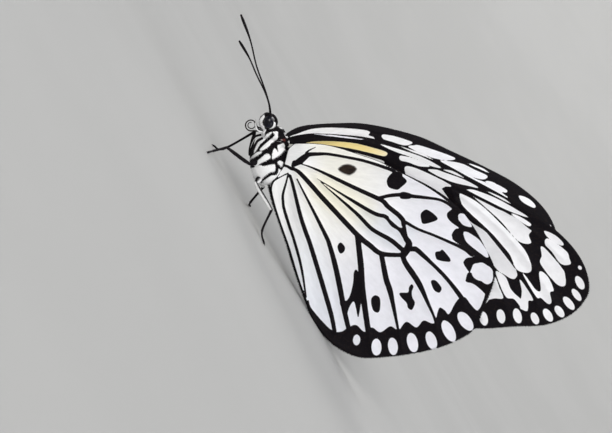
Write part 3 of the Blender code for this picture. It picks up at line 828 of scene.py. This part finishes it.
def wing_net(outline, lines):
    """Rim, vein and filling points of a wing joined into triangles."""
    rim = evenly(catmull_rom(outline, closed=True), WING_STEP, closed=True)
    ring = np.vstack([rim, rim[:1]])
    edges = [(i, (i + 1) % len(rim)) for i in range(len(rim))]
    points = [rim]
    count = len(rim)
    veins = [evenly(catmull_rom(line), WING_STEP) for line, _ in lines.values()]
    for path in veins:
        keep = inside(path, rim) & (near_line(path, ring)[0] > VEIN_END_GAP)
        number = count + np.cumsum(keep) - 1
        edges += [(int(number[i]), int(number[i + 1])) for i in np.flatnonzero(keep[:-1] & keep[1:])]
        points.append(path[keep])
        count += int(keep.sum())
    low, high = rim.min(axis=0), rim.max(axis=0)
    columns = np.arange(low[0], high[0], WING_STEP)
    rows = np.arange(low[1], high[1], WING_STEP * 0.866)
    shifts = np.arange(len(rows)) % 2 * WING_STEP / 2
    grid = np.array([(column + shift, row) for row, shift in zip(rows, shifts) for column in columns])
    grid = grid[inside(grid, rim)]
    for path, share in [(ring, RIM_CLEAR)] + [(path, VEIN_CLEAR) for path in veins]:
        grid = grid[near_line(grid, path)[0] > share * WING_STEP]
    flat, _, faces, origins, _, _ = geometry.delaunay_2d_cdt(
        [Vector(point) for point in np.vstack(points + [grid]).tolist()], edges, [], 1, 1e-5
    )
    on_rim = np.array([any(index < len(rim) for index in origin) for origin in origins])
    return np.array([tuple(point) for point in flat]), np.array(faces), on_rim, ring, veins


def plan_wing(kind, outline, lines, look):
    """What both wings of a pair share: the net, its veins and its markings."""
    spots, faces, on_rim, ring, veins = wing_net(outline, lines)
    rim, _ = near_line(spots, ring)
    rim[on_rim] = 0.0
    vein = np.min([near_line(spots, path)[0] for path in veins], axis=0)
    wave = np.array([noise.noise(Vector((a / WAVE, b / WAVE, 3.7))) for a, b in spots.tolist()])
    sag = PLEAT * (1 - np.exp(-((vein / PLEAT_WIDTH) ** 2))) * ramp(rim, 0.0, 2.0)
    swell = WAVE_HEIGHT * wave * ramp(rim, 0.0, 6.0) * ramp(spots[:, 0], 4, 16)
    half = (MEMBRANE_HALF + VEIN_RISE * np.exp(-((vein / VEIN_WIDTH) ** 2))) * ramp(rim, -0.1, 0.6)
    half[on_rim] = 0.0
    edge = evenly(catmull_rom(outline, closed=True), FRINGE_STEP, closed=True)
    ahead = unit(np.roll(edge, -1, axis=0) - np.roll(edge, 1, axis=0))
    out = np.stack([ahead[:, 1], -ahead[:, 0]], 1)
    if inside(edge[:1] + out[:1] * 0.2, edge)[0]:
        out = -out
    fringe = (edge, ahead, out, look(edge - out * 0.15, np.zeros(len(edge)))[0])
    return spots, faces, on_rim, sideways(kind, spots) - sag + swell, half, look(spots, rim), fringe


def flow_of(spots):
    """Where a scale sits along and across the rows that fan out from the wing's root."""
    a, b = (spots - FAN_CENTRE).T
    return np.stack([np.arctan2(b, a) * FAN_ROWS, np.hypot(b, a) * 0.5, np.zeros(len(a))], 1)


def unwrap_of(spots):
    return (spots + (4.0, 44.0)) / (140.0, 56.0)


def build_wing(kind, name, side, plan, material):
    spots, faces, on_rim, middle, half, looks, fringe = plan
    free = np.flatnonzero(~on_rim)
    upper = np.arange(len(spots))
    upper[free] = len(spots) + np.arange(len(free))
    low = np.insert(spots, 1, side * middle - half, axis=1)
    high = np.insert(spots, 1, side * middle + half, axis=1)[free]
    (low_ink, low_pale), (high_ink, high_pale) = looks if side == LEFT else looks[::-1]
    unwrap, flow = unwrap_of(spots), flow_of(spots)
    corners = np.vstack([unwrap[faces].reshape(-1, 2), unwrap[faces[:, ::-1]].reshape(-1, 2) + (0.5, 0.0)])
    both = Shapes()
    both.add(
        np.vstack([low, high]), np.vstack([faces, upper[faces[:, ::-1]]]), corners,
        ink=np.concatenate([low_ink, high_ink[free]]), pale=np.vstack([low_pale, high_pale[free]]),
        flow=np.vstack([flow, flow[free] + (0.0, 0.0, 9.0)]),
    )
    add_fringe(both, kind, side, *fringe)
    both.piece(name, material, "wing_scales", name)


def add_fringe(both, kind, side, rim, ahead, out, look):
    """Short scales that stand out along the wing's edge, shortest along its front."""
    rng = np.random.default_rng(11 if side == LEFT else 12)
    count = len(rim)
    ink, pale = look
    height = side * sideways(kind, rim)
    long = rng.uniform(*FRINGE_LENGTH, count) * (1 - 0.8 * ramp(out[:, 1], 0.0, 0.5))
    skew = rng.uniform(-FRINGE_SKEW, FRINGE_SKEW, count)
    wide = ahead * rng.uniform(*FRINGE_HALF_WIDTH, count)[:, None]
    root = rim - out * 0.06
    tip = rim + out * long[:, None] + ahead * skew[:, None]
    corners = [(root + wide, height), (root - wide, height), (root, height + 0.03), (tip, height)]
    points = np.stack([np.insert(spot, 1, y, axis=1) for spot, y in corners], 1).reshape(-1, 3)
    base = 4 * np.arange(count)[:, None]
    faces = np.vstack([base + face for face in ((0, 1, 3), (1, 2, 3), (2, 0, 3), (0, 2, 1))])
    dot = np.array(((0, 0), (1, 0), (1, 1), (0, 1))) * UNWRAP_DOT
    unwrap = (unwrap_of(rim)[:, None, :] + dot).reshape(-1, 2)
    both.add(
        points, faces, unwrap[faces].reshape(-1, 2), ink=np.repeat(ink, 4), pale=np.repeat(pale, 4, axis=0),
        flow=np.repeat(flow_of(rim), 4, axis=0),
    )


# Body

# White and black markings of the body, in picture pixels
WHITE_STRIPES = {
    "face": (
        (263.5, 112), (265, 116.5), (263, 120.5), (263, 124), (265.5, 128.5), (266, 131), (262.5, 135),
        (260, 131.5), (256.5, 128.5), (257, 125.5), (260.5, 115),
    ),
    "crescent": (
        (269, 128.5), (273, 126), (273.5, 121.5), (275.5, 123), (276, 125), (275, 126.5), (272.5, 128.5),
    ),
    "neck_dot": ((278.5, 126.5), (280.5, 124.5), (283, 127), (281.5, 129)),
    "chest_1": ((262.5, 135), (258.5, 141), (254, 151.5), (256.5, 150.5), (265, 135)),
    "chest_2": ((271, 132), (271.5, 133.5), (259.5, 145), (258.5, 144), (266.5, 134.5)),
    "chest_3": (
        (272.5, 132), (277.5, 131.5), (278, 135.5), (277.5, 139), (271, 143.5), (269.5, 146),
        (262.5, 150.5), (260, 150), (260.5, 148.5), (264.5, 144.5), (274.5, 135.5),
    ),
    "flank": (
        (277.5, 146), (281, 142), (284, 143.5), (285, 147), (284, 151), (279, 155.5), (273, 159),
        (272, 157), (272.5, 152.5), (274.5, 148), (278, 151),
    ),
    "coxa_1": ((249, 160), (252, 156), (255.5, 153), (258.5, 151.5), (262, 152.5)),
    "coxa_2": (
        (254.5, 165.5), (255, 163), (265.5, 154), (268, 153.5), (270.5, 155.5), (270, 158.5), (265.5, 161),
        (260.5, 163.5), (256.5, 166.5),
    ),
    "under": (
        (246, 169), (253.5, 167.5), (260.5, 165), (263.5, 166), (276, 164), (281.5, 168.5), (287, 166),
        (293.5, 171), (297, 182), (290, 195), (262, 195), (247, 180),
    ),
    "hinge_1": ((277, 162.5), (280, 160.5), (283.5, 163), (281, 167.5), (278.5, 166)),
    "hinge_2": ((279.5, 172.5), (283, 168.5), (288, 170.5), (291.5, 173.5), (286, 176), (281, 177.5)),
    "tegula": ((288, 142), (289.5, 139.5), (291.5, 141), (290, 143)),
}
WHITE_LINES = (
    (((271.0, 116.2), (272.8, 117.3), (274.4, 119.4)), (0.5, 0.7, 0.5)),
    (((284.6, 133.2), (286.8, 137.4)), (1.4, 1.4)),
)
BLACK_LINES = (
    (
        ((276.4, 163.8), (277.0, 169.0), (275.5, 173.1), (270.4, 174.1), (262.8, 179.7), (258.7, 183.3)),
        (2.5, 3.5, 3, 2),
    ),
    (((276.4, 163.8), (281.5, 168.4), (287.1, 166.5), (293.3, 171.0)), (2.8, 2.4)),
)
RUST_SPOTS = ((253.0, 161.2), (284.1, 139.8))
RUST_RADIUS = 1.3


def body_axis(b):
    """The a of the body's middle line at this b."""
    return np.interp(
        b, (-27.6, -6.0, -2.2, 0.7, 4.0, 6.2, 8.9, 11.1), (6.8, -0.1, -1.75, -2.5, -2.2, -1.95, -2.35, -2.35)
    )


def ellipsoid_reach(shape, start, direction):
    """How far a ray from inside or beside a ball runs until it leaves the ball, or -1."""
    centre, radii = np.array(shape[0]), np.array(shape[1]) - COAT
    p = (start - centre) / radii
    d = direction / radii
    aa, bb, cc = (d * d).sum(1), 2 * (p * d).sum(1), (p * p).sum(1) - 1
    under = bb * bb - 4 * aa * cc
    return np.where(under > 0, (-bb + np.sqrt(np.maximum(under, 0))) / (2 * aa), -1.0)


def abdomen_radius(t):
    swell = np.sin(np.pi * np.minimum(1.0, 0.22 + 0.74 * np.clip(t, 0, 1))) ** 0.62
    tip = np.sqrt(np.clip(1 - ((t - 0.9) / 0.1).clip(0, 1) ** 2, 0, 1))
    phase = np.abs(t * ABDOMEN_RINGS - np.round(t * ABDOMEN_RINGS))
    groove = 0.13 * np.exp(-((phase / 0.07) ** 2)) * ramp(t, 0.03, 0.1)
    bulge = 0.06 * np.cos((t * ABDOMEN_RINGS - 0.5) * 2 * np.pi)
    return (ABDOMEN_RADIUS - COAT * 0.5) * swell * tip - (groove - bulge) * tip


def abdomen_place(b):
    """How far along the abdomen a b lies, 0 to 1, and the a of the abdomen's middle there."""
    t = (b - ABDOMEN_ROOT[1]) / (ABDOMEN_TIP[1] - ABDOMEN_ROOT[1])
    return t, ABDOMEN_ROOT[0] + (ABDOMEN_TIP[0] - ABDOMEN_ROOT[0]) * t


def body_reach(b, phi):
    """The body's radius round its middle line."""
    start = np.stack([body_axis(b), np.zeros(len(b)), b], 1)
    direction = np.stack([np.cos(phi), np.sin(phi), np.zeros(len(b))], 1)
    mirrored = np.where([False, True, False], np.abs(direction), direction)
    reaches = [ellipsoid_reach(shape, start, direction) for shape in (THORAX, COLLAR, HEAD)]
    reaches += [ellipsoid_reach(shape, start, mirrored) for shape in (TEGULA, HINGE)]
    t, middle = abdomen_place(b)
    aside = start[:, 0] - middle
    under = abdomen_radius(t) ** 2 - (aside * np.sin(phi)) ** 2
    far = np.sqrt(np.maximum(under, 0)) - aside * np.cos(phi)
    reaches = np.array(reaches + [np.where((t >= 0) & (under > 0), far, -1.0)])
    top = reaches.max(axis=0)
    blended = top + BLEND * np.log(np.exp((reaches - top) / BLEND).sum(axis=0))
    return np.where(top > 0.3, blended, np.maximum(top, 0.0))


def skin_spots(b, phi, lift=0.0):
    """Points of the skin at these b, in these directions from the body's middle line."""
    reach = body_reach(b, phi)
    reach = reach + np.where(reach > 0.5, lift, 0.0)
    return np.stack([body_axis(b) + reach * np.cos(phi), reach * np.sin(phi), b], 1)


def body_look(points):
    a, y, b = points.T
    spots = picture(np.stack([a, -np.abs(y), b], 1))
    ink = -darkened(spots, WHITE_LINES, WHITE_STRIPES.values(), np.full(len(a), -FAR), FAR)
    ink = darkened(spots, BLACK_LINES, (), ink, FAR)
    rust = np.max([RUST_RADIUS - np.linalg.norm(spots - centre, axis=1) for centre in RUST_SPOTS], axis=0)
    ink = np.minimum(ink, -rust) / PIXELS_PER_MM
    ink = np.where((b > 7.6) & (a < -2.5), np.maximum(ink, 0.22 - np.abs(y)), ink)
    t, middle = abdomen_place(b)
    ring = t * ABDOMEN_RINGS
    around = np.arctan2(np.abs(y), a - middle)
    back = 0.55 - around * ABDOMEN_RADIUS * 0.9
    rings = 0.2 - np.abs(ring - np.round(ring)) * 3.3 - 0.25 * ramp(around, 1.2, 2.6)
    flank = 0.28 - np.hypot((around - 1.35) * 1.5, (ring - np.floor(ring) - 0.45) * 3.0)
    ink = np.where(b < WAIST, np.max([back, rings, flank], axis=0), ink)
    pale = mix(BODY_WHITE, CREAM, 0.4 * ramp(-b, 4, 10))
    return ink, mix(pale, RUST, ramp(rust, -2.5, -1.0))


def build_body(material):
    """One skin over head, collar, thorax and abdomen. Returns the b of its rings."""
    rings, around = 300, 128
    low, high = ABDOMEN_TIP[1] + 0.02, HEAD[0][2] + HEAD[1][2] - COAT - 0.002
    share = np.linspace(0, 1, rings)
    eased = share * 0.9 + 0.1 * (1 - np.cos(share * np.pi)) / 2
    ring_b = low + (high - low) * np.concatenate([[0.0008, 0.003], eased[2:-3], [0.9978, 0.999, 0.9998]])
    b, phi = np.repeat(ring_b, around), np.tile(np.arange(around) / around * 2 * np.pi, rings)
    points = skin_spots(b, phi)
    ink, pale = body_look(points)
    rough = np.array([noise.noise(Vector(point) * 1.7) for point in points.tolist()])
    points = skin_spots(b, phi, 0.1 * ramp(-ink, 0.0, 0.35) * (b > WAIST) + 0.05 * rough)
    points = np.vstack([
        points, (body_axis(low), 0.0, low - 0.01), (body_axis(high), 0.0, high + 0.01)
    ])
    faces, uv = shell(rings, around)
    piece = add_piece(
        "body_skin", points, faces, material, uv, flow=points * FUR_FLOW,
        ink=np.append(ink, [0.3, 0.3]), pale=np.vstack([pale, pale[:1], pale[-1:]]),
    )
    settle(piece, "body_fur", "thorax", "collar", "head", "abdomen")
    return ring_b


def tuft_points(roots, tips, bends, wide):
    """Bent three-sided blades from root to tip: points and faces."""
    along = unit(tips - roots)
    helper = np.where(np.abs(along[:, :1]) > 0.8, [[0.0, 1.0, 0.0]], [[1.0, 0.0, 0.0]])
    one = unit(np.cross(along, helper))
    two = np.cross(along, one)
    rows = []
    for middle, share in ((roots, 1.0), (bends, 0.8)):
        for angle in 2 * np.pi * np.arange(3) / 3:
            rows.append(middle + (one * np.cos(angle) + two * np.sin(angle)) * (wide * share)[:, None])
    base = 7 * np.arange(len(roots))[:, None]
    faces = [base + (0, 2, 1)]
    for k, j in ((0, 1), (1, 2), (2, 0)):
        faces += [base + (k, j, 3 + k), base + (j, 3 + j, 3 + k), base + (3 + k, 3 + j, 6)]
    return np.stack(rows + [tips], 1).reshape(-1, 3), np.vstack(faces)


def build_coat(name, ring_b, material, stretch, count, length, wide, lift, seed):
    """Hair-like scales that lie back along the body between two places along it."""
    rng = np.random.default_rng(seed)
    b = rng.uniform(*stretch, count * 3)
    phi = rng.uniform(0, 2 * np.pi, count * 3)
    keep = rng.uniform(0, 4.0, len(b)) < body_reach(b, phi)
    b, phi = b[keep][:count], phi[keep][:count]
    roots = skin_spots(b, phi)
    ahead = unit(skin_spots(b - 0.05, phi) - roots)
    beside = unit(skin_spots(b, phi + 0.02) - roots)
    out = unit(np.cross(beside, ahead))
    away = np.stack([np.cos(phi), np.sin(phi)], 1)
    out *= np.sign((out[:, :2] * away).sum(1))[:, None]
    ink, pale = body_look(roots)
    n = len(roots)
    size = rng.uniform(*length, n)[:, None]
    direction = ahead + beside * rng.normal(0, 0.3, n)[:, None]
    rise = out * rng.uniform(*lift, n)[:, None]
    bends = roots + size * (0.5 * direction + rise)
    tips = roots + size * (direction + 0.7 * rise)
    roots = roots - out * ROOT_SINK
    clear = np.full(n, True)
    for _, side in SIDES:
        from_eye = (tips - np.array(EYE[0]) * (1, side, 1)) / (np.array(EYE[1]) + 0.05)
        clear &= (from_eye**2).sum(1) > 1.0
    roots, bends, tips, ink, pale, b, phi = (x[clear] for x in (roots, bends, tips, ink, pale, b, phi))
    points, faces = tuft_points(roots, tips, bends, rng.uniform(*wide, len(roots)))
    along = np.interp(b, ring_b, np.arange(len(ring_b)) / len(ring_b))
    unwrap = np.stack([phi / (2 * np.pi), along], 1) * 0.99
    dot = np.array(((0, 0), (2, 0), (1, 0.67), (0, 1), (2, 1), (1, 1.33), (1, 2))) * UNWRAP_DOT / 2
    corners = (unwrap[:, None, :] + dot).reshape(-1, 2)
    piece = add_piece(
        name, points, faces, material, corners[faces].reshape(-1, 2), ink=np.repeat(ink, 7) * 1.6,
        pale=np.repeat(pale, 7, axis=0), flow=np.repeat(roots * FUR_FLOW, 7, axis=0),
    )
    settle(piece, "body_fur")


def add_tube(shapes, path, radii, ink, around=12, flow=(1.0, 60.0)):
    """A round tube along the path, closed at both ends."""
    tangents = unit(np.gradient(path, axis=0))
    phi = np.arange(around) / around * 2 * np.pi
    up = np.array([0.31, 0.2, 0.93])
    rows = []
    for centre, radius, tangent in zip(path, radii, tangents):
        up = unit(up - tangent * (up @ tangent))
        ring = np.cos(phi)[:, None] * up + np.sin(phi)[:, None] * np.cross(tangent, up)
        rows.append(centre + radius * ring)
    spots = np.vstack(rows + [path[:1], path[-1:]])
    faces, _ = shell(len(path), around)
    along = np.append(np.repeat(np.linspace(0, 1, len(path)), around), [0.0, 1.0])
    angle = np.append(np.tile(phi, len(path)), [0.0, 0.0])
    shapes.add(
        spots, [face[::-1] for face in faces], ink=ink(along, angle), pale=np.tile(WHITE, (len(spots), 1)),
        flow=np.stack([angle * flow[0], along * flow[1], np.zeros(len(spots))], 1),
    )


def rounded(t, start=0.04, end=0.04):
    """A radius factor that rounds both ends of a limb."""
    first = np.sqrt(np.clip(1 - ((start - t) / start).clip(0, 1) ** 2, 0, 1))
    last = np.sqrt(np.clip(1 - ((t - 1 + end) / end).clip(0, 1) ** 2, 0, 1))
    return np.maximum(0.12, first * last)


def limb(shapes, points, radii, ink, step=0.12, around=14, start=0.04, end=0.04, joints=()):
    path = evenly(catmull_rom(points), step)
    t = np.linspace(0, 1, len(path))
    radius = np.interp(t, np.linspace(0, 1, len(radii)), radii) * rounded(t, start, end)
    for joint in joints:
        swell, nick = ((t - joint + 0.035) / 0.025) ** 2, ((t - joint) / 0.014) ** 2
        radius *= 1 + 0.12 * np.exp(-swell) - 0.3 * np.exp(-nick)
    add_tube(shapes, path, radius, ink, around, (1.2, 6.0))


def ground(x, y, height=FOOT_HEIGHT):
    """The plate place of a point at this height over the floor, in upright millimetres."""
    level = FLOOR_LEVEL + height
    c, s = math.cos(TILT), math.sin(TILT)
    return (x * c + level * s, y, level * c - x * s)


# The legs' root, hip, knee, ankle and toe, and the antennae from root to tip, on the plate
LEGS = {
    "mid_leg_left": (
        (-4.6, -1.6, 1.2), (-6.4, -2.6, 0.8), (-11.4, -4.6, 5.1),
        ground(-11.7, -7.6, 1.1), ground(-13.0, -10.9),
    ),
    "mid_leg_right": (
        (-4.6, 1.6, 1.2), (-5.9, 2.8, 1.2), (-4.7, 4.6, 5.6),
        ground(-6.6, 7.4, 1.9), ground(-7.4, 10.9),
    ),
    "hind_leg_left": (
        (-4.2, -1.5, -2.4), (-5.3, -2.7, -3.2), (-2.3, -4.9, -8.5),
        ground(8.3, -7.4, 1.0), ground(9.9, -10.4),
    ),
    "hind_leg_right": (
        (-4.2, 1.5, -2.4), (-5.1, 2.7, -3.3), (-2.9, 5.0, -6.5),
        ground(6.6, 7.6, 0.9), ground(8.2, 10.6),
    ),
}
ANTENNAE = {
    "antenna_left": (
        (-1.9, -0.7, 10.0), (-2.1, -1.0, 12.3), (-3.1, -1.6, 16.0), (-4.9, -2.2, 21.3), (-6.2, -2.7, 26.9),
        (-8.1, -3.2, 32.3),
    ),
    "antenna_right": (
        (-1.9, 0.7, 10.0), (-2.0, 2.2, 12.2), (-2.6, 4.8, 14.2), (-3.9, 7.6, 16.9), (-5.2, 10.5, 20.0),
        (-7.0, 13.3, 23.0),
    ),
}


def black(along, angle):
    return np.full(len(along), 0.5)


def underlined(along, angle):
    return 0.25 - 0.5 * np.clip(np.cos(angle - 2.6), 0, 1)


def whitish(along, angle):
    return 0.3 * np.cos(angle) - 0.18


def speckled(along, angle):
    return 0.1 - 0.4 * np.clip(np.sin(angle * 2), 0, 1)


def build_leg(name, places, material):
    coxa_ink, thigh_ink = (whitish, whitish) if name.startswith("hind") else (black, underlined)
    root, hip, knee, ankle, toe = (np.array(place) for place in places)
    leg = Shapes()
    limb(leg, (root, (root + hip) / 2, hip), (0.62, 0.66, 0.45), coxa_ink, start=0.3, end=0.3)
    thigh = evenly(catmull_rom((root, hip, knee)), 0.12)
    to_hip, to_knee = np.linalg.norm(hip - root), np.linalg.norm(knee - hip)
    start = int(len(thigh) * to_hip / (to_hip + to_knee))
    limb(leg, thigh[start:], (0.32, 0.43, 0.45, 0.41, 0.3), thigh_ink, start=0.01, end=0.02)
    shin = evenly(catmull_rom((knee, ankle, toe)), 0.12)
    at = int(np.argmin(np.linalg.norm(shin - ankle, axis=1)))
    limb(leg, shin[: at + 1], (0.3, 0.25, 0.24, 0.24, 0.26), black, start=0.01, end=0.01)
    foot = shin[at:]
    limb(leg, foot, (0.21, 0.2, 0.2, 0.2), black, 0.06, 14, 0.01, 0.04, (0.42, 0.6, 0.74, 0.86))
    for joint in ((thigh[-4], knee, shin[3]), (shin[at - 3], shin[at], shin[at + 3])):
        limb(leg, joint, (0.2, 0.29, 0.2), black, step=0.06, start=0.2, end=0.2)
    heading = unit(foot[-1] - foot[-4])
    side = unit(np.cross(heading, (0.87, 0.0, 0.49)))
    down = -np.array((math.sin(TILT), 0.0, math.cos(TILT)))
    for turn in (-1, 1):
        claw = np.array((
            -heading * 0.1, heading * 0.22 + side * turn * 0.14 - down * 0.05,
            heading * 0.42 + side * turn * 0.2 + down * 0.12,
        ))
        limb(leg, foot[-1] + claw, (0.09, 0.06, 0.015), black, step=0.04, around=8)
        spur = np.array((side * turn * 0.1, heading * 0.3 + side * turn * 0.3))
        limb(leg, shin[at] + spur, (0.06, 0.05, 0.012), black, step=0.05, around=8)
    leg.piece(name, material, "horny_black", f"{name}_femur", f"{name}_tibia")


def build_antenna(name, places, material):
    antenna = Shapes()
    path = evenly(catmull_rom(places), 0.06)
    t = np.linspace(0, 1, len(path))
    phase = (t * ANTENNA_JOINTS) % 1.0
    bead = 1.0 - 0.16 * np.exp(-((np.minimum(phase, 1 - phase) / 0.12) ** 2))
    club = 0.22 - 0.05 * ramp(t, 0.0, 0.06) + 0.13 * ramp(t, 0.72, 0.9) - 0.1 * ramp(t, 0.94, 1.0)
    add_tube(antenna, path, club * bead * rounded(t, 0.003, 0.008), black)
    limb(antenna, path[:13:6], (0.34, 0.37, 0.3), black, step=0.06, start=0.3, end=0.4)
    antenna.piece(name, material, "horny_black", name)


def build_proboscis(material):
    turn = np.linspace(0, TONGUE_TURNS, 151)
    radius = TONGUE_RADIUS - TONGUE_PITCH * turn
    angle = math.radians(-70) - 2 * np.pi * turn
    coil = np.stack([radius * np.cos(angle), turn * 0.0125, radius * np.sin(angle)], 1) + TONGUE_CENTRE
    path = evenly(catmull_rom(np.vstack([TONGUE_ROOT, coil]), steps=4), 0.05)
    t = np.linspace(0, 1, len(path))
    ribs = 1 - 0.1 * (np.sin(t * 700) > 0.6)
    tongue = Shapes()
    add_tube(tongue, path, (0.17 - 0.07 * t) * ribs * rounded(t, 0.01, 0.02), black)
    tongue.piece("proboscis_coil", material, "horny_black", "proboscis")


def build_palps(material):
    for name, side in SIDES:
        palp, brush = Shapes(), Shapes()
        limb(palp, np.array(PALP) * (1, side, 1), (0.25, 0.3, 0.27, 0.2, 0.1), speckled)
        palp.piece(f"palp_{name}_fur", material, "body_fur", f"palp_{name}")
        limb(brush, np.array(FORELEG) * (1, side, 1), (0.26, 0.27, 0.22, 0.16, 0.1), underlined)
        brush.piece(f"foreleg_{name}_brush", material, "horny_black", f"foreleg_{name}")


def build_eyes():
    n = Nodes("eye_facets")
    place = n.new("ShaderNodeTexCoord", {}, "Object")
    cells = n.new("ShaderNodeTexVoronoi", {"Vector": place, "Scale": 9000.0}, "Distance")
    cloud = n.ease(n.noise(place, 700.0, 3.0, 0.6), 0.35, 0.65)
    colour = n.blend(cloud, (0.002, 0.002, 0.004), (0.006, 0.006, 0.014))
    material = n.finish(colour, 0.2, n.bump(cells, 0.00001, 0.3), Specular_IOR_Level=0.22, Coat_Weight=0.06)
    rings, around = 40, 64
    theta = np.repeat(np.linspace(0, np.pi, rings + 2)[1:-1], around)
    phi = np.tile(np.arange(around) / around * 2 * np.pi, rings)
    ball = np.stack([np.sin(theta) * np.cos(phi), np.sin(theta) * np.sin(phi), np.cos(theta)], 1)
    ball = np.vstack([ball, (0, 0, 1), (0, 0, -1)])
    ball *= 1.0 - 0.03 * np.abs(ball[:, 2:]) ** 3
    faces, _ = shell(rings, around)
    for name, side in SIDES:
        points = ball * EYE[1] + np.array(EYE[0]) * (1, side, 1)
        settle(add_piece(f"eye_{name}_facets", points, faces, material), "eye", f"eye_{name}")


# Studio

def build_stage():
    """A pale floor that curves up into a wall all round."""
    rise = np.radians(np.linspace(0, 85, 25))
    flat, bend, around = 0.7, 2.2, 96
    radius = np.concatenate([[0.3], flat + bend * np.sin(rise), [2.95]])
    height = np.concatenate([[0.0], bend * (1 - np.cos(rise)), [3.4]])
    angle = np.tile(2 * np.pi * np.arange(around) / around, len(radius))
    radius, height = np.repeat(radius, around), np.repeat(height, around)
    points = np.stack([radius * np.cos(angle), radius * np.sin(angle), height], 1)
    faces, _ = shell(len(points) // around, around)
    paper = plain_material("floor_paper", (0.42, 0.42, 0.415), (0.44, 0.44, 0.435), 0.9, 6.0, bump=0.0)
    floor = placed("floor", smooth_mesh("floor", np.vstack([points, np.zeros(3)]), faces[:-around], paper))


def add_light(name, place, size, power, colour):
    light = bpy.data.lights.new(name, "AREA")
    light.shape = "DISK"
    light.size = size
    light.energy = power
    light.color = colour
    obj = placed(name, light)
    obj.location = place
    obj.rotation_euler = (LIGHT_TARGET - Vector(place)).to_track_quat("-Z", "Y").to_euler()


def build_lights():
    add_light("key", (-0.6, -2.0, 1.2), 1.3, 40.0, (1.0, 0.985, 0.96))
    add_light("fill", (1.5, -1.1, 0.9), 1.3, 8.0, (0.94, 0.97, 1.0))
    add_light("rim", (0.5, 1.7, 1.4), 1.2, 16.0, (1.0, 0.99, 0.97))
    add_light("top", (0.0, 0.0, 2.3), 1.5, 14.0, (1.0, 1.0, 1.0))
    sky = bpy.data.worlds.new("studio")
    sky.use_nodes = True
    background = sky.node_tree.nodes["Background"]
    background.inputs["Color"].default_value = (0.9, 0.93, 1.0, 1.0)
    background.inputs["Strength"].default_value = 0.36
    bpy.context.scene.world = sky
    bpy.context.scene.view_settings.view_transform = "Standard"


def build_camera():
    back, up, right = (Vector(turned(axis)[0]) for axis in (CAMERA_BACK, CAMERA_UP, CAMERA_RIGHT))
    place = Vector(world(CAMERA_AIM)[0]) + back * CAMERA_DISTANCE * MM
    camera = bpy.data.cameras.new("camera")
    camera.sensor_width = 36.0
    camera.lens = PICTURE_FOCAL * camera.sensor_width / (2 * PICTURE_CENTRE[0])
    camera.clip_start = 0.01
    camera.clip_end = 20.0
    obj = placed("camera", camera)
    turn = Matrix((right, up, back)).transposed()
    obj.matrix_world = Matrix.Translation(place) @ turn.to_4x4()
    bpy.context.scene.camera = obj


def main():
    wing_scales = scale_material("wing_scales", rag=0.06, soft=0.04, streak=0.07)
    body_scales = scale_material("body_scales", rag=0.07, soft=0.05, streak=0.08)
    hard_scales = scale_material("leg_scales", rag=0.14, soft=0.1, streak=0.2)
    forewing = plan_wing("forewing", FOREWING, FOREWING_LINES, forewing_look)
    hindwing = plan_wing("hindwing", HINDWING, HINDWING_VEINS, hindwing_look)
    for name, side in SIDES:
        build_wing("forewing", f"forewing_{name}", side, forewing, wing_scales)
        build_wing("hindwing", f"hindwing_{name}", side, hindwing, wing_scales)
    ring_b = build_body(body_scales)
    for name, coat in COATS.items():
        build_coat(name, ring_b, body_scales, *coat)
    for name, places in LEGS.items():
        build_leg(name, places, hard_scales)
    for name, places in ANTENNAE.items():
        build_antenna(name, places, hard_scales)
    tongue_horn = ((0.008, 0.006, 0.006), (0.02, 0.012, 0.010))
    build_proboscis(plain_material("tongue_horn", *tongue_horn, 0.5, 900.0, Specular_IOR_Level=0.2))
    build_palps(body_scales)
    build_eyes()
    build_stage()
    build_lights()
    build_camera()


main()
